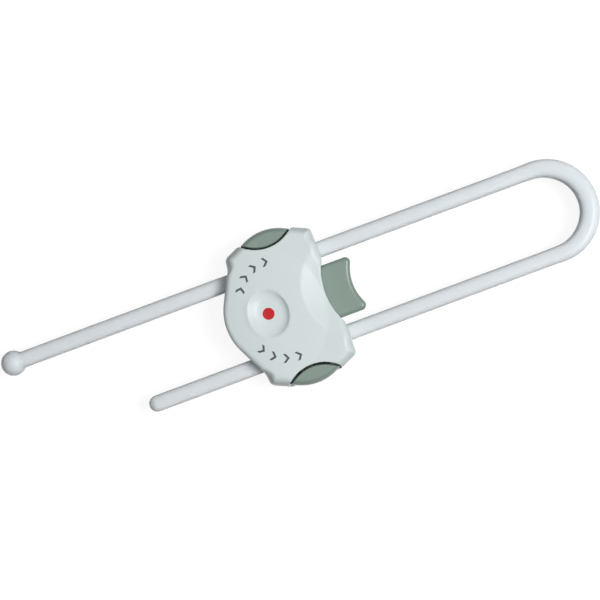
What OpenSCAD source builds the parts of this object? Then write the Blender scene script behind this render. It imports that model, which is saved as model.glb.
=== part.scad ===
// Cabinet safety lock: a U-shaped bar goes through two door handles, and a casing slides along both legs.
// Claws and bolts inside the casing hold the teeth on the hidden lower inner side of each leg.
// X runs along the legs towards the bend, Y across them towards the long leg, Z out of the front face.
// The origin lies on the back face, midway between the two squeeze buttons. All lengths in millimetres.

/* [Bar] */
// Diameter of the two legs
leg_d = 6; // [5:0.5:7]
// Distance between the axes of the two legs
leg_spacing = 32; // [30:1:40]
// From the casing's centre line to the start of the bend
bend_reach = 98.9; // [96:0.1:130]
// Diameter of the bar at the middle of the bend
bend_d = 7.1; // [6.4:0.1:9]
// From the casing's centre line to the centre of the ball on the long leg
ball_reach = 101.5; // [100:0.5:130]
// Diameter of the ball
ball_d = 9.2; // [8:0.2:12]
// Radius of the blend between the ball and its leg
ball_neck_r = 1.2; // [0.6:0.1:2.5]
// From the casing's centre line to the tip of the short leg
short_reach = 60.4; // [55:0.1:80]
// How far the bar slides either way from its rest place
bar_travel = 78; // [60:0.1:78]

/* [Teeth] */
// Pitch of the teeth along the legs
tooth_pitch = 2.6; // [2:0.1:3]
// Depth of the teeth
tooth_depth = 1.25; // [0.9:0.05:1.5]
// Number of teeth on each claw
claw_teeth = 4; // [2:1:5]
// From the leg's axis down to the ledge above the teeth
ledge_drop = 0.5; // [0.3:0.1:1]

/* [Casing] */
// Wall of the casing
wall_t = 1.8; // [1.4:0.1:2.4]
// Floor of the rear cover
floor_t = 2; // [1.6:0.1:3]
// Wall of the front face
front_t = 2; // [1.6:0.1:2.4]
// Rounding of the front edge
edge_r = 3; // [2:0.1:4]
// Rounding of the back edge
foot_r = 0.8; // [0.4:0.1:1.2]
// How much the front face bulges
crown = 1; // [0.2:0.1:1.2]
// Radius of the round nose
nose_r = 20; // [16:0.5:24]
// From the trigger's front to the front face
front_room = 7.5; // [6.5:0.1:10]
// Radius of the hollow right side
hollow_r = 26.4; // [20:0.2:28]
// Depth of the hollow right side, to its virtual corner
hollow_depth = 6.1; // [5.5:0.1:7]

/* [Face] */
// Diameter of the round dimple
dimple_d = 15.6; // [10:0.2:17]
// Depth of the dimple
dimple_depth = 1.8; // [0.8:0.1:2.4]
// From the button centre line to the middle of the dimple
dimple_shift = 8.1; // [6:0.1:9]
// Radius of the thumb scoop where it meets the front face
scoop_r = 13.2; // [11:0.1:15]
// From the front face up to the middle of the scoop's sphere
scoop_rise = 36; // [12:0.5:44]
// From the right side out to the middle of the scoop
scoop_shift = 1.4; // [0.5:0.1:3]

/* [Squeeze buttons] */
// Length of each button
button_w = 18.9; // [16:0.1:22]
// How far each button travels
button_travel = 2; // [1.6:0.1:2.6]
// How far the middle of a button stands out of the casing's side
button_proud = 1.9; // [1:0.1:3]
// How far the ends of a button lie back from its middle
button_bulge = 2.8; // [1.5:0.1:3.5]
// Rounding of the button's outer edges
button_edge_r = 1.2; // [0.8:0.1:3]
// Wall of the button
button_wall = 1.6; // [1.2:0.1:2]
// Radius of the notch that shows the button in the front face
notch_arc_r = 13.9; // [12:0.1:16]
// From the casing's side in to the bottom of that notch
notch_depth = 5; // [3.5:0.1:5.4]

/* [Trigger] */
// How far the tab's corners stand out of the right side
tab_reach = 10.3; // [7:0.1:12]
// Height of the tab
tab_t = 7.3; // [6:0.1:7.5]
// Gap between the tab and each leg
tab_side_gap = 2.9; // [2.7:0.1:4]
// Radius of the hollow thumb end
thumb_r = 17; // [14:0.5:24]
// Depth of the hollow thumb end, to its virtual corner
thumb_depth = 4.2; // [2.5:0.1:4.5]
// Rounding of the tab's edges
tab_edge_r = 1.5; // [0.8:0.1:2]
// Rounding of the tab's two outer corners
tab_corner_r = 1.8; // [1.6:0.1:2.4]
// Thickness of the trigger's plate
plate_t = 3.5; // [3:0.1:4]
// How far the trigger travels
trigger_travel = 4.5; // [4:0.1:5]

/* [Springs and screws] */
// Wire of the springs
wire_d = 0.6; // [0.4:0.05:0.7]
// Outer diameter of the latch springs
latch_spring_d = 4; // [3.4:0.1:4.4]
// Curls of a latch spring
latch_curls = 4; // [3:1:5]
// Outer diameter of the trigger spring
trigger_spring_d = 3.6; // [3.2:0.1:4]
// Curls of the trigger spring
trigger_curls = 8; // [6:1:10]
// Diameter of the cover screws
screw_d = 2.6; // [2.2:0.1:3]
// Length of a cover screw under its head
screw_l = 11.5; // [9:0.5:12]
// Diameter of the screw heads
head_d = 4.6; // [4.2:0.1:5]

/* [Hidden] */
$fn = 64;

// Clearances: between moving pieces, between pieces that plug together, and past the end of every cut
run_gap = 0.3;
slide_gap = 0.25;
fit_gap = 0.1;
port_gap = 0.2;
overrun = 1;

// Legs
leg_r = leg_d / 2;
leg_y = leg_spacing / 2;
leg_in = leg_y - leg_r;
leg_out = leg_y + leg_r;
ball_r = ball_d / 2;
bend_steps = 32;
bend_sides = 32;
// The bend starts a step thicker than the leg, grows over this angle and has a core that reaches into the leg
bend_step = 0.1;
bend_blend_angle = 50;
bend_core_share = 0.8;
bend_core_r = leg_r * bend_core_share;
end_steps = 10;

// Latch: a slide under its leg, with the claw on the leg's inner side and the button on the outer side
latch_t = 3.1;
under_leg_gap = 0.65;
latch_z = floor_t + slide_gap;
latch_top = latch_z + latch_t;
leg_z = latch_top + under_leg_gap + leg_r;
claw_top = leg_z - ledge_drop - run_gap;
claw_cheek = 1.3;
claw_w = claw_teeth * tooth_pitch + 2 * claw_cheek;
claw_t = 2.9;
claw_tooth_h = 1.5;
tooth_gap = 0.2;
claw_y1 = leg_in - run_gap;
claw_y0 = claw_y1 - claw_t;
latch_wall_t = 1.5;
latch_wall_gap = 0.5;
latch_wall_y = leg_out + latch_wall_gap + button_travel;
latch_back_y = latch_wall_y + latch_wall_t;
latch_wall_top = leg_z;
peg_r = 1.1;
peg_l = 1.2;

// Sawtooth line: distance from the leg's axis at the bottom and top of each tooth
tooth_over = 0.2;
root_s = leg_r - tooth_depth;
crest_s = leg_r + tooth_over;
tooth_slope = (crest_s - root_s) / tooth_pitch;

// Squeeze button, which plugs on to its latch
button_z = floor_t + 2 * run_gap;
button_back_y = latch_back_y + fit_gap;
side_room = 4.2;
side_y = button_back_y + side_room;
button_face_y = side_y + button_proud;
button_arc_r = (pow(button_w / 2, 2) + pow(button_bulge, 2)) / (2 * button_bulge);
flange_lip = 1.45;
flange_w = button_w + 2 * flange_lip;
flange_t = 0.9;
tongue_l = 2.4;
tongue_t = 4;

// Trigger
plate_gap = 0.8;
plate_z = claw_top + plate_gap;
plate_top = plate_z + plate_t;
tab_half = leg_in - tab_side_gap;
shoulder = 1.1;
plate_half = tab_half + shoulder;
front_z = plate_top + front_room;
button_drop = 2.5;
button_top = front_z - button_drop;

// Bolts: each has one tooth in the first gap clear of the claw and of the rib between them
rib_t = 1;
bolt_cheek = 1.2;
bolt_clear = claw_w / 2 + run_gap + rib_t + slide_gap + bolt_cheek;
bolt_gap_index = -ceil(bolt_clear / tooth_pitch) - 1;
bolt_x0 = bolt_gap_index * tooth_pitch - bolt_cheek;
bolt_x1 = (bolt_gap_index + 1) * tooth_pitch + bolt_cheek;
bolt_t = 3.2;
bolt_z = claw_top - bolt_t;
pin_r = 1.2;
pin_gap = 0.15;
pin_wall = 0.8;
pin_x = (bolt_x0 + bolt_x1) / 2;
pin_inset = 3.5;
pin_y = tab_half - pin_inset;
bolt_back_y = pin_y - pin_r - pin_wall;
cam_ratio = 1 / 3;

// Screws and their bosses, beside the buttons
boss_r = 2.2;
boss_foot_r = 3.2;
boss_foot_h = 4.5;
boss_gap = 0.4;
boss_x = flange_w / 2 + boss_gap + boss_r;
boss_y = leg_out + boss_gap + boss_r;
head_h = 1.6;
head_room = 0.25;
head_sink = 0.8;
seat_z = head_h + head_sink;
recess_w = 0.7;
recess_l = 2.6;
recess_h = 0.9;
pilot_gap = 0.05;
pilot_tip = 1;

// Casing outline: corners as [x, y, radius, arc steps], one side from the nose to the hollow right side
split_z = leg_z;
seam = 0.15;
right_room = 3.2;
right_x = boss_x + right_room;
nose_room = 7.8;
nose_x = bolt_x0 - trigger_travel - nose_room;
flank_room = 3.4;
flank_rise = 0.3;
flank_r = 5;
lobe_room = 2.7;
lobe_drop = 3;
lobe_r = 2.5;
notch_gap = 0.15;
notch_x = button_w / 2 + notch_gap;
notch_r = 0.8;
right_drop = 3.2;
right_r = 2;
hollow_drop = 0.6;
hollow_y = leg_in - hollow_drop;
hollow_x = right_x - hollow_depth;
hollow_edge_r = 1.5;
flank_x = boss_x + flank_room;
flank_y = leg_out + flank_rise;
side_corners = [
    [-flank_x, flank_y, flank_r, 6],
    [-boss_x - lobe_room, side_y - lobe_drop, lobe_r, 8],
    [-notch_x, side_y, notch_r, 4],
    [notch_x, side_y, notch_r, 4],
    [right_x, side_y - right_drop, right_r, 8],
    [right_x, hollow_y, hollow_edge_r, 4]
];
least_r = 0.3;
case_corners = concat(
    [[nose_x, 0, nose_r, 24]],
    [for (c = side_corners) [c.x, -c.y, c[2], c[3]]],
    [[hollow_x, 0, hollow_r, 20]],
    [for (i = [len(side_corners) - 1 : -1 : 0]) side_corners[i]]
);
edge_steps = 8;
foot_steps = 4;
crown_shares = [0.8, 0.6, 0.4, 0.2];
crown_x = -dimple_shift;
ceiling_z = front_z - crown - front_t;

// Spheres of the dimple and the scoop
dimple_r = (pow(dimple_d / 2, 2) + pow(dimple_depth, 2)) / (2 * dimple_depth);
dimple_at = [-dimple_shift, 0, front_z - dimple_depth + dimple_r];
scoop_sphere_r = norm([scoop_r, scoop_rise]);
scoop_at = [right_x + scoop_shift, 0, front_z + scoop_rise];

// Trigger's places along X
hollow_apex_x = hollow_x + hollow_r * (1 / cos(atan(hollow_depth / hollow_y)) - 1);
shoulder_gap = 0.2;
shoulder_x = hollow_apex_x - shoulder_gap;
tab_root_x = claw_w / 2 + trigger_travel + 2 * run_gap;
tab_end_x = right_x + tab_reach;
tail_lip = 0.4;
tail_x = bolt_x0 - tail_lip;
slot_wall = 1.6;
tail_half = pin_y + pin_r + slot_wall;
taper_x = bolt_x1;
spring_slot_half = trigger_spring_d / 2 + run_gap;
spring_slot_shift = 3.9;
spring_slot_x = -spring_slot_shift;
trigger_spring_z = plate_z + plate_t / 2;
trigger_peg_r = trigger_spring_d / 2 - wire_d - run_gap;
nose_half_turn = atan((-flank_x - nose_x) / flank_y);
nose_apex_x = nose_x + nose_r * (1 / cos(nose_half_turn) - 1);
spring_post_t = 1.8;
spring_post_x = nose_apex_x + wall_t + run_gap + spring_post_t;
spring_post_half = 2.2;

// Supports on the rear cover
spring_rib_half = [3, 1.9];
spring_rise = 3;
spring_z = latch_z + spring_rise;
spring_rib_over = 2.2;
spring_rib_top = spring_z + spring_rib_over;
rail_h = 2.4;
rest_post = [3.6, 1.8];
rest_post_gap = 1.8;
rest_post_x = claw_w / 2 + rest_post_gap;
holder_t = 1.2;
holder_l = 15;
holder_x = -6;

function unit(v) = v / norm(v);
function turned_left(v) = [-v.y, v.x];

// Moves every edge of a counter-clockwise outline inwards and keeps its corner radii concentric
function inset_corners(corners, d) =
    let (n = len(corners))
    [for (i = [0 : n - 1])
        let (
            v = [corners[i].x, corners[i].y],
            before = corners[(i + n - 1) % n],
            after = corners[(i + 1) % n],
            way_in = unit(v - [before.x, before.y]),
            way_out = unit([after.x, after.y] - v),
            n_in = turned_left(way_in),
            n_out = turned_left(way_out),
            moved = v + (n_in + n_out) * d / (1 + n_in * n_out),
            bends_left = cross(way_in, way_out) > 0,
            r = bends_left ? max(corners[i][2] - d, least_r) : corners[i][2] + d
        )
        [moved.x, moved.y, r, corners[i][3]]];

// Points of an outline with its corners rounded
function rounded(corners) =
    let (n = len(corners))
    [for (i = [0 : n - 1])
        let (
            v = [corners[i].x, corners[i].y],
            before = corners[(i + n - 1) % n],
            after = corners[(i + 1) % n],
            back = unit([before.x, before.y] - v),
            ahead = unit([after.x, after.y] - v),
            half = acos(back * ahead) / 2,
            r = corners[i][2],
            centre = v + unit(back + ahead) * r / sin(half),
            start = v + back * r / tan(half) - centre,
            first = atan2(start.y, start.x),
            turn = (cross(back, ahead) < 0 ? 1 : -1) * (180 - 2 * half)
        )
        each arc(centre, r, first, first + turn, corners[i][3])];

function at_height(points, z) = [for (p = points) [p.x, p.y, z]];
function case_ring(inset, z) = at_height(rounded(inset_corners(case_corners, inset)), z);

// Rings that round an edge from an upright wall over to a flat face
function edge_rings(corners, inset, r, z, steps) =
    [for (k = [0 : steps])
        let (a = 90 * k / steps)
        at_height(rounded(inset_corners(corners, inset + r * (1 - cos(a)))), z - r + r * sin(a))];

function arc(centre, r, first, last, steps) =
    [for (k = [0 : steps])
        let (a = first + (last - first) * k / steps)
        centre + r * [cos(a), sin(a)]];

// Outline of a slot between two points
function slot_points(p, q, r) =
    let (a = atan2(q.y - p.y, q.x - p.x))
    concat(arc(q, r, a - 90, a + 90, end_steps), arc(p, r, a + 90, a + 270, end_steps));

// Sawtooth edge between two gap numbers: steep towards the bend, sloping away from it
function saw_edge(first, last, shift_x, shift_s) =
    [for (i = [first : last])
        each [
            [i * tooth_pitch + shift_x, root_s + shift_s],
            [(i + 1) * tooth_pitch + shift_x, crest_s + shift_s]
        ]];

// Skin through rings of equal counts, lowest ring first, closed by triangles to a point inside each end ring
module loft(rings, low_tip, high_tip) {
    n = len(rings[0]);
    tip = len(rings) * n;
    last = tip - n;
    sides = [
        for (k = [0 : len(rings) - 2], i = [0 : n - 1])
            let (a = k * n + i, b = k * n + (i + 1) % n)
            each [[a, a + n, b + n], [a, b + n, b]]
    ];
    lower = [for (i = [0 : n - 1]) [i, (i + 1) % n, tip]];
    upper = [for (i = [0 : n - 1]) [last + (i + 1) % n, last + i, tip + 1]];
    polyhedron(concat([for (ring = rings) each ring], [low_tip, high_tip]), concat(sides, lower, upper));
}

// Tube with round rings, given as a centre, a direction across the path and a direction along it
function tube_ring(centre, across, along, r, sides) =
    let (n = unit(across), b = unit(cross(along, n)))
    [for (k = [0 : sides - 1])
        let (a = 360 * k / sides)
        centre + r * (n * cos(a) + b * sin(a))];

module both_sides() {
    children();
    mirror([0, 1, 0]) children();
}

module box(low, high) {
    translate(low) cube(high - low);
}

module along_x(x, y, z) {
    translate([x, y, z]) rotate([0, 90, 0]) children();
}

module along_y(x, y, z) {
    translate([x, y, z]) rotate([-90, 0, 0]) children();
}

// Bar

// Leg with its teeth: a turned profile along X, cut by a sawtooth on its lower inner side
module toothed_leg(profile, first_gap, last_gap) {
    difference() {
        translate([0, leg_y, leg_z]) rotate([90, 0, 90]) rotate_extrude() polygon(profile);
        translate([0, leg_y, leg_z - leg_r - overrun]) mirror([0, 1, 0])
            linear_extrude(leg_r + overrun - ledge_drop)
                polygon(concat(
                    [[first_gap * tooth_pitch, leg_r + overrun]],
                    saw_edge(first_gap, last_gap, 0, 0),
                    [[(last_gap + 1) * tooth_pitch, leg_r + overrun]]
                ));
    }
}

// Profiles as [distance from the axis, place along the leg]
neck_x = sqrt(pow(ball_r + ball_neck_r, 2) - pow(leg_r + ball_neck_r, 2));
neck_angle = atan2(leg_r + ball_neck_r, neck_x);
function profile_points(points) = [for (p = points) [p.y, p.x]];
ball_arc = arc([-ball_reach, 0], ball_r, 180, neck_angle, 2 * end_steps);
neck_arc = arc([neck_x - ball_reach, leg_r + ball_neck_r], ball_neck_r, neck_angle - 180, -90, end_steps);
dome_arc = arc([leg_r - short_reach, 0], leg_r, 180, 90, end_steps);
leg_end = [[bend_reach, leg_r], [bend_reach, 0]];
last_gap = floor((bar_travel + claw_w / 2) / tooth_pitch);
long_first_gap = -ceil((bar_travel - bolt_x0) / tooth_pitch);
short_first_gap = -floor(short_reach / tooth_pitch);

// Radius of the bar along the bend, growing smoothly from each leg over the first half of the turn
function bend_r(a) =
    let (t = min(1, (90 - abs(a)) / bend_blend_angle), least = leg_r + bend_step)
    least + (bend_d / 2 - least) * t * t * (3 - 2 * t);

module bend() {
    middle = [bend_reach, 0, leg_z];
    rings = [for (k = [0 : bend_steps])
        let (a = -90 + 180 * k / bend_steps, out = [cos(a), sin(a), 0])
        tube_ring(middle + leg_y * out, out, [-sin(a), cos(a), 0], bend_r(a), bend_sides)];
    loft(rings, middle - [0, leg_y, 0], middle + [0, leg_y, 0]);
}

module u_bar() {
    color("whitesmoke") union() {
        toothed_leg(profile_points(concat(ball_arc, neck_arc, leg_end)), long_first_gap, last_gap);
        mirror([0, 1, 0])
            toothed_leg(profile_points(concat(dome_arc, leg_end)), short_first_gap, last_gap);
        bend();
        both_sides() along_x(bend_reach - bend_core_r / 2, leg_y, leg_z)
            cylinder(r = bend_core_r, h = bend_core_r);
    }
}

// Casing

module leg_ports() {
    both_sides() along_x(nose_x, leg_y, leg_z) cylinder(r = leg_r + port_gap, h = right_x - nose_x + overrun);
    translate([bar_travel - ball_reach, leg_y, leg_z]) sphere(r = ball_r + run_gap);
}

module button_windows(low, high) {
    both_sides() box(
        [-button_w / 2 - run_gap, latch_wall_y - button_travel, low],
        [button_w / 2 + run_gap, side_y + overrun, high]
    );
}

module trigger_window(low, high) {
    box(
        [shoulder_x - wall_t - overrun, -tab_half - run_gap, low],
        [right_x + overrun, tab_half + run_gap, high]
    );
}

module at_screws() {
    for (x = [-boss_x, boss_x], y = [-boss_y, boss_y]) translate([x, y, 0]) children();
}

module dimple_and_scoop(skin) {
    translate(dimple_at) sphere(r = dimple_r + skin, $fn = 96);
    translate(scoop_at) sphere(r = scoop_sphere_r + skin, $fn = 96);
}

// Everything of the casing between two heights
module slab(low, high) {
    box([nose_x, -side_y - overrun, low], [right_x + overrun, side_y + overrun, high]);
}

module front_outside() {
    top = front_z - crown;
    rim = case_ring(edge_r, 0);
    rings = concat(
        [case_ring(0, split_z - overrun)],
        edge_rings(case_corners, 0, edge_r, top, edge_steps),
        [for (s = crown_shares)
            [for (p = rim) [crown_x + (p.x - crown_x) * s, p.y * s, front_z - crown * s * s]]]
    );
    difference() {
        loft(rings, [crown_x, 0, split_z - overrun], [crown_x, 0, front_z]);
        slab(split_z - 2 * overrun, split_z);
    }
}

module rear_outside() {
    rings = [
        case_ring(foot_r, -overrun),
        for (k = [0 : foot_steps])
            let (a = 90 * k / foot_steps)
            case_ring(foot_r * (1 - sin(a)), foot_r * (1 - cos(a))),
        case_ring(0, split_z - seam),
        case_ring(seam, split_z),
        case_ring(seam, split_z + overrun)
    ];
    difference() {
        loft(rings, [crown_x, 0, -overrun], [crown_x, 0, split_z + overrun]);
        slab(-2 * overrun, 0);
        slab(split_z, split_z + 2 * overrun);
    }
}

// Ribs that keep the trigger's plate down on its rests
module plate_holders() {
    both_sides() box(
        [holder_x, tab_half - 2 * holder_t, plate_top + slide_gap],
        [holder_x + holder_l, tab_half - holder_t, front_z]
    );
}

module front_shell() {
    color("whitesmoke") difference() {
        difference() {
            front_outside();
            leg_ports();
        }
        difference() {
            translate([0, 0, split_z - overrun]) linear_extrude(ceiling_z - split_z + overrun) difference() {
                polygon(rounded(inset_corners(case_corners, wall_t)));
                at_screws() circle(r = boss_r);
            }
            dimple_and_scoop(front_t);
            plate_holders();
        }
        dimple_and_scoop(0);
        button_windows(split_z - overrun, button_top + run_gap);
        trigger_window(split_z - overrun, plate_top + run_gap);
        both_sides() translate([0, side_y - notch_depth + notch_arc_r, button_top])
            cylinder(r = notch_arc_r, h = front_z);
        at_screws() translate([0, 0, split_z - overrun])
            cylinder(d = screw_d + 2 * pilot_gap, h = seat_z + screw_l + pilot_tip - split_z + overrun);
    }
}

// What stands on the rear cover's floor: screw bosses, rails of the latches and bolts, spring rib and rests
module floor_fittings() {
    at_screws() {
        cylinder(r = boss_r, h = split_z);
        cylinder(r = boss_foot_r, h = boss_foot_h);
    }
    box([-spring_rib_half.x, -spring_rib_half.y, 0], [spring_rib_half.x, spring_rib_half.y, spring_rib_top]);
    both_sides() {
        for (x = [-claw_w / 2 - run_gap - rib_t, claw_w / 2 + run_gap])
            box([x, claw_y0 - button_travel, 0], [x + rib_t, leg_out, floor_t + rail_h]);
        box([bolt_x0, bolt_back_y, 0], [bolt_x1, claw_y1, bolt_z - slide_gap]);
        box(
            [bolt_x0 - slide_gap - rib_t, bolt_back_y, 0],
            [bolt_x0 - slide_gap, claw_y1, claw_top - slide_gap]
        );
        box(
            [rest_post_x, tab_half + run_gap, 0],
            [rest_post_x + rest_post.x, tab_half + run_gap + rest_post.y, plate_z - slide_gap]
        );
    }
    box([bolt_x1 + slide_gap, -claw_y1, 0], [bolt_x1 + slide_gap + rib_t, claw_y1, plate_z - slide_gap]);
}

module rear_cover() {
    color("gainsboro") union() {
        difference() {
            rear_outside();
            difference() {
                translate([0, 0, floor_t]) linear_extrude(split_z)
                    polygon(rounded(inset_corners(case_corners, wall_t)));
                floor_fittings();
            }
            leg_ports();
            button_windows(button_z - run_gap, split_z + overrun);
            trigger_window(plate_top - tab_t - run_gap, split_z + overrun);
            at_screws() {
                translate([0, 0, -overrun]) cylinder(d = screw_d + 2 * head_room, h = split_z + 2 * overrun);
                translate([0, 0, -overrun]) cylinder(d = head_d + 2 * head_room, h = seat_z + overrun);
            }
        }
        box(
            [spring_post_x - spring_post_t, -spring_post_half, floor_t / 2],
            [spring_post_x, spring_post_half, plate_top]
        );
        along_x(spring_post_x, 0, trigger_spring_z) cylinder(r = trigger_peg_r, h = peg_l);
        both_sides() along_y(0, spring_rib_half.y, spring_z) cylinder(r = peg_r, h = peg_l);
    }
}

// Cover screws: pan heads with a cross recess, threads left plain
module cover_screws() {
    color("silver") at_screws() difference() {
        union() {
            translate([0, 0, head_sink]) cylinder(d = head_d, h = head_h);
            translate([0, 0, seat_z]) cylinder(d = screw_d, h = screw_l);
        }
        for (turn = [0, 90]) rotate([0, 0, turn])
            box([-recess_l / 2, -recess_w / 2, 0], [recess_l / 2, recess_w / 2, head_sink + recess_h]);
    }
}

// Squeeze buttons

module button_shape() {
    arc_y = button_face_y - button_arc_r;
    r = button_edge_r;
    difference() {
        union() {
            intersection() {
                translate([0, arc_y, 0]) rotate_extrude($fn = 128) polygon(concat(
                    [[0, button_z]],
                    arc([button_arc_r - r, button_z + r], r, -90, 0, end_steps),
                    arc([button_arc_r - r, button_top - r], r, 0, 90, end_steps),
                    [[0, button_top]]
                ));
                box([-button_w / 2, button_back_y, 0], [button_w / 2, button_face_y + overrun, front_z]);
            }
            box(
                [-flange_w / 2, button_back_y, boss_foot_h + run_gap],
                [flange_w / 2, button_back_y + flange_t, ceiling_z - run_gap]
            );
        }
        intersection() {
            translate([0, arc_y, 0]) cylinder(r = button_arc_r - button_wall, h = front_z, $fn = 128);
            box(
                [-button_w / 2 + button_wall, button_back_y - overrun, button_z + button_wall],
                [button_w / 2 - button_wall, button_face_y, button_top - button_wall]
            );
        }
    }
}

module long_leg_button() {
    color("darkseagreen") button_shape();
}

module short_leg_button() {
    color("darkseagreen") mirror([0, 1, 0]) button_shape();
}

// Latches

// Toothed end: claw or bolt teeth between two gap numbers, on a block that reaches back to a given Y
module toothed_end(first, last, back_y, low, high) {
    shift_s = tooth_gap + tooth_gap * tooth_slope;
    translate([0, leg_y, low]) mirror([0, 1, 0]) linear_extrude(high - low)
        polygon(concat(
            [[first * tooth_pitch + tooth_gap, leg_y - back_y]],
            saw_edge(first, last, tooth_gap, shift_s),
            [[(last + 1) * tooth_pitch + tooth_gap, leg_y - back_y]]
        ));
}

module latch_shape() {
    half = claw_w / 2;
    tongue_half = button_w / 2 - button_wall - fit_gap;
    tongue_z = button_z + button_wall + fit_gap;
    box([-half, claw_y0, latch_z], [half, latch_back_y, latch_top]);
    box([-half, claw_y0, latch_z], [half, claw_y1, claw_top]);
    toothed_end(-claw_teeth / 2, claw_teeth / 2 - 1, claw_y0 + claw_t / 2, claw_top - claw_tooth_h, claw_top);
    box([-half, latch_wall_y, latch_z], [half, latch_back_y, latch_wall_top]);
    box([-tongue_half, latch_wall_y, tongue_z], [tongue_half, latch_back_y + tongue_l, tongue_z + tongue_t]);
    along_y(0, claw_y0 - peg_l, spring_z) cylinder(r = peg_r, h = peg_l + claw_t / 2);
}

module long_leg_latch() {
    color("ivory") latch_shape();
}

module short_leg_latch() {
    color("ivory") mirror([0, 1, 0]) latch_shape();
}

// Bolts, drawn inwards by the pins in the trigger's cam slots

module bolt_shape() {
    box([bolt_x0, bolt_back_y, bolt_z], [bolt_x1, claw_y1, claw_top]);
    toothed_end(bolt_gap_index, bolt_gap_index, claw_y0, claw_top - claw_tooth_h, claw_top);
    translate([pin_x, pin_y, bolt_z]) cylinder(r = pin_r, h = plate_top - run_gap - bolt_z);
}

module long_leg_bolt() {
    color("ivory") bolt_shape();
}

module short_leg_bolt() {
    color("ivory") mirror([0, 1, 0]) bolt_shape();
}

// Thumb trigger: a plate with two cam slots and a spring slot, and the tab with its hollow thumb end

module trigger_plate() {
    pull = [trigger_travel, -trigger_travel * cam_ratio];
    translate([0, 0, plate_z]) linear_extrude(plate_t) difference() {
        polygon([
            [tail_x, -tail_half],
            [taper_x, -plate_half],
            [shoulder_x, -plate_half],
            [shoulder_x, plate_half],
            [taper_x, plate_half],
            [tail_x, tail_half]
        ]);
        translate([tail_x - overrun, -spring_slot_half])
            square([spring_slot_x - tail_x + overrun, 2 * spring_slot_half]);
        both_sides() polygon(slot_points([pin_x, pin_y], [pin_x, pin_y] + pull, pin_r + pin_gap));
    }
}

module trigger_tab() {
    corners = [
        [tab_root_x, tab_half, tab_edge_r, 3],
        [tab_root_x, -tab_half, tab_edge_r, 3],
        [tab_end_x, -tab_half, tab_corner_r, 8],
        [tab_end_x - thumb_depth, 0, thumb_r, 20],
        [tab_end_x, tab_half, tab_corner_r, 8]
    ];
    steps = 6;
    low = plate_top - tab_t;
    upper = edge_rings(corners, 0, tab_edge_r, plate_top, steps);
    lower = [for (k = [steps : -1 : 0]) [for (p = upper[k]) [p.x, p.y, low + plate_top - p.z]]];
    middle_x = (tab_root_x + tab_end_x - thumb_depth) / 2;
    loft(concat(lower, upper), [middle_x, 0, low], [middle_x, 0, plate_top]);
}

module thumb_trigger() {
    color("darkseagreen") union() {
        trigger_plate();
        trigger_tab();
        along_x(spring_slot_x - peg_l, 0, trigger_spring_z)
            cylinder(r = trigger_peg_r, h = 2 * peg_l);
    }
}

// Springs: one wire from end to end, whose two ends run straight on to their seats

curl_rings = 8;
wire_sides = 6;

function coil_points(length, outer_d, curls) =
    let (
        r = (outer_d - wire_d) / 2,
        rise = (length - 2 * wire_d) / curls,
        n = curls * curl_rings
    )
    concat(
        [[r, 0, 0]],
        [for (k = [0 : n])
            let (a = 360 * k / curl_rings)
            [r * cos(a), r * sin(a), wire_d + rise * k / curl_rings]],
        [[r, 0, length]]
    );

// Least distance between the wire's skin and that of the next curl
function coil_gap(points) =
    min([for (i = [0 : len(points) - 1], j = [i + curl_rings / 2 : len(points) - 1])
        if (j < len(points)) norm(points[j] - points[i])]) - wire_d;

module coil(length, outer_d, curls, name) {
    points = coil_points(length, outer_d, curls);
    last = len(points) - 1;
    echo(str(name, " least gap between curls ", coil_gap(points), " mm"));
    rings = [for (i = [0 : last])
        let (
            p = points[i],
            along = unit(points[min(i + 1, last)] - points[max(i - 1, 0)])
        )
        tube_ring(p, [p.x, p.y, 0], along, wire_d / 2, wire_sides)];
    loft(rings, points[0], points[last]);
}

module latch_spring_shape(name) {
    along_y(0, spring_rib_half.y + fit_gap, spring_z)
        coil(claw_y0 - spring_rib_half.y - 2 * fit_gap, latch_spring_d, latch_curls, name);
}

module long_leg_latch_spring() {
    color("lightsteelblue") latch_spring_shape("long_leg_latch_spring");
}

module short_leg_latch_spring() {
    color("lightsteelblue") mirror([0, 1, 0]) latch_spring_shape("short_leg_latch_spring");
}

module trigger_spring() {
    color("lightsteelblue") along_x(spring_post_x + fit_gap, 0, trigger_spring_z)
        coil(spring_slot_x - spring_post_x - 2 * fit_gap, trigger_spring_d, trigger_curls, "trigger_spring");
}

u_bar();
front_shell();
rear_cover();
long_leg_button();
short_leg_button();
long_leg_latch();
short_leg_latch();
long_leg_latch_spring();
short_leg_latch_spring();
long_leg_bolt();
short_leg_bolt();
thumb_trigger();
trigger_spring();
cover_screws();
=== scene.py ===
"""Looks of a cabinet safety lock: a U-shaped bar, a sliding casing, two squeeze buttons and a trigger.

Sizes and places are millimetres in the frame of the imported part: X runs along the legs towards the bend,
Y across them towards the long leg and Z out of the front face. They become metres as they enter the scene.
"""

import logging
import math
from collections.abc import Callable, Mapping, Sequence
from dataclasses import dataclass
from enum import Enum

import bmesh
import bpy
import numpy as np
from mathutils import Matrix, Vector
from mathutils.geometry import tessellate_polygon


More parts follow.
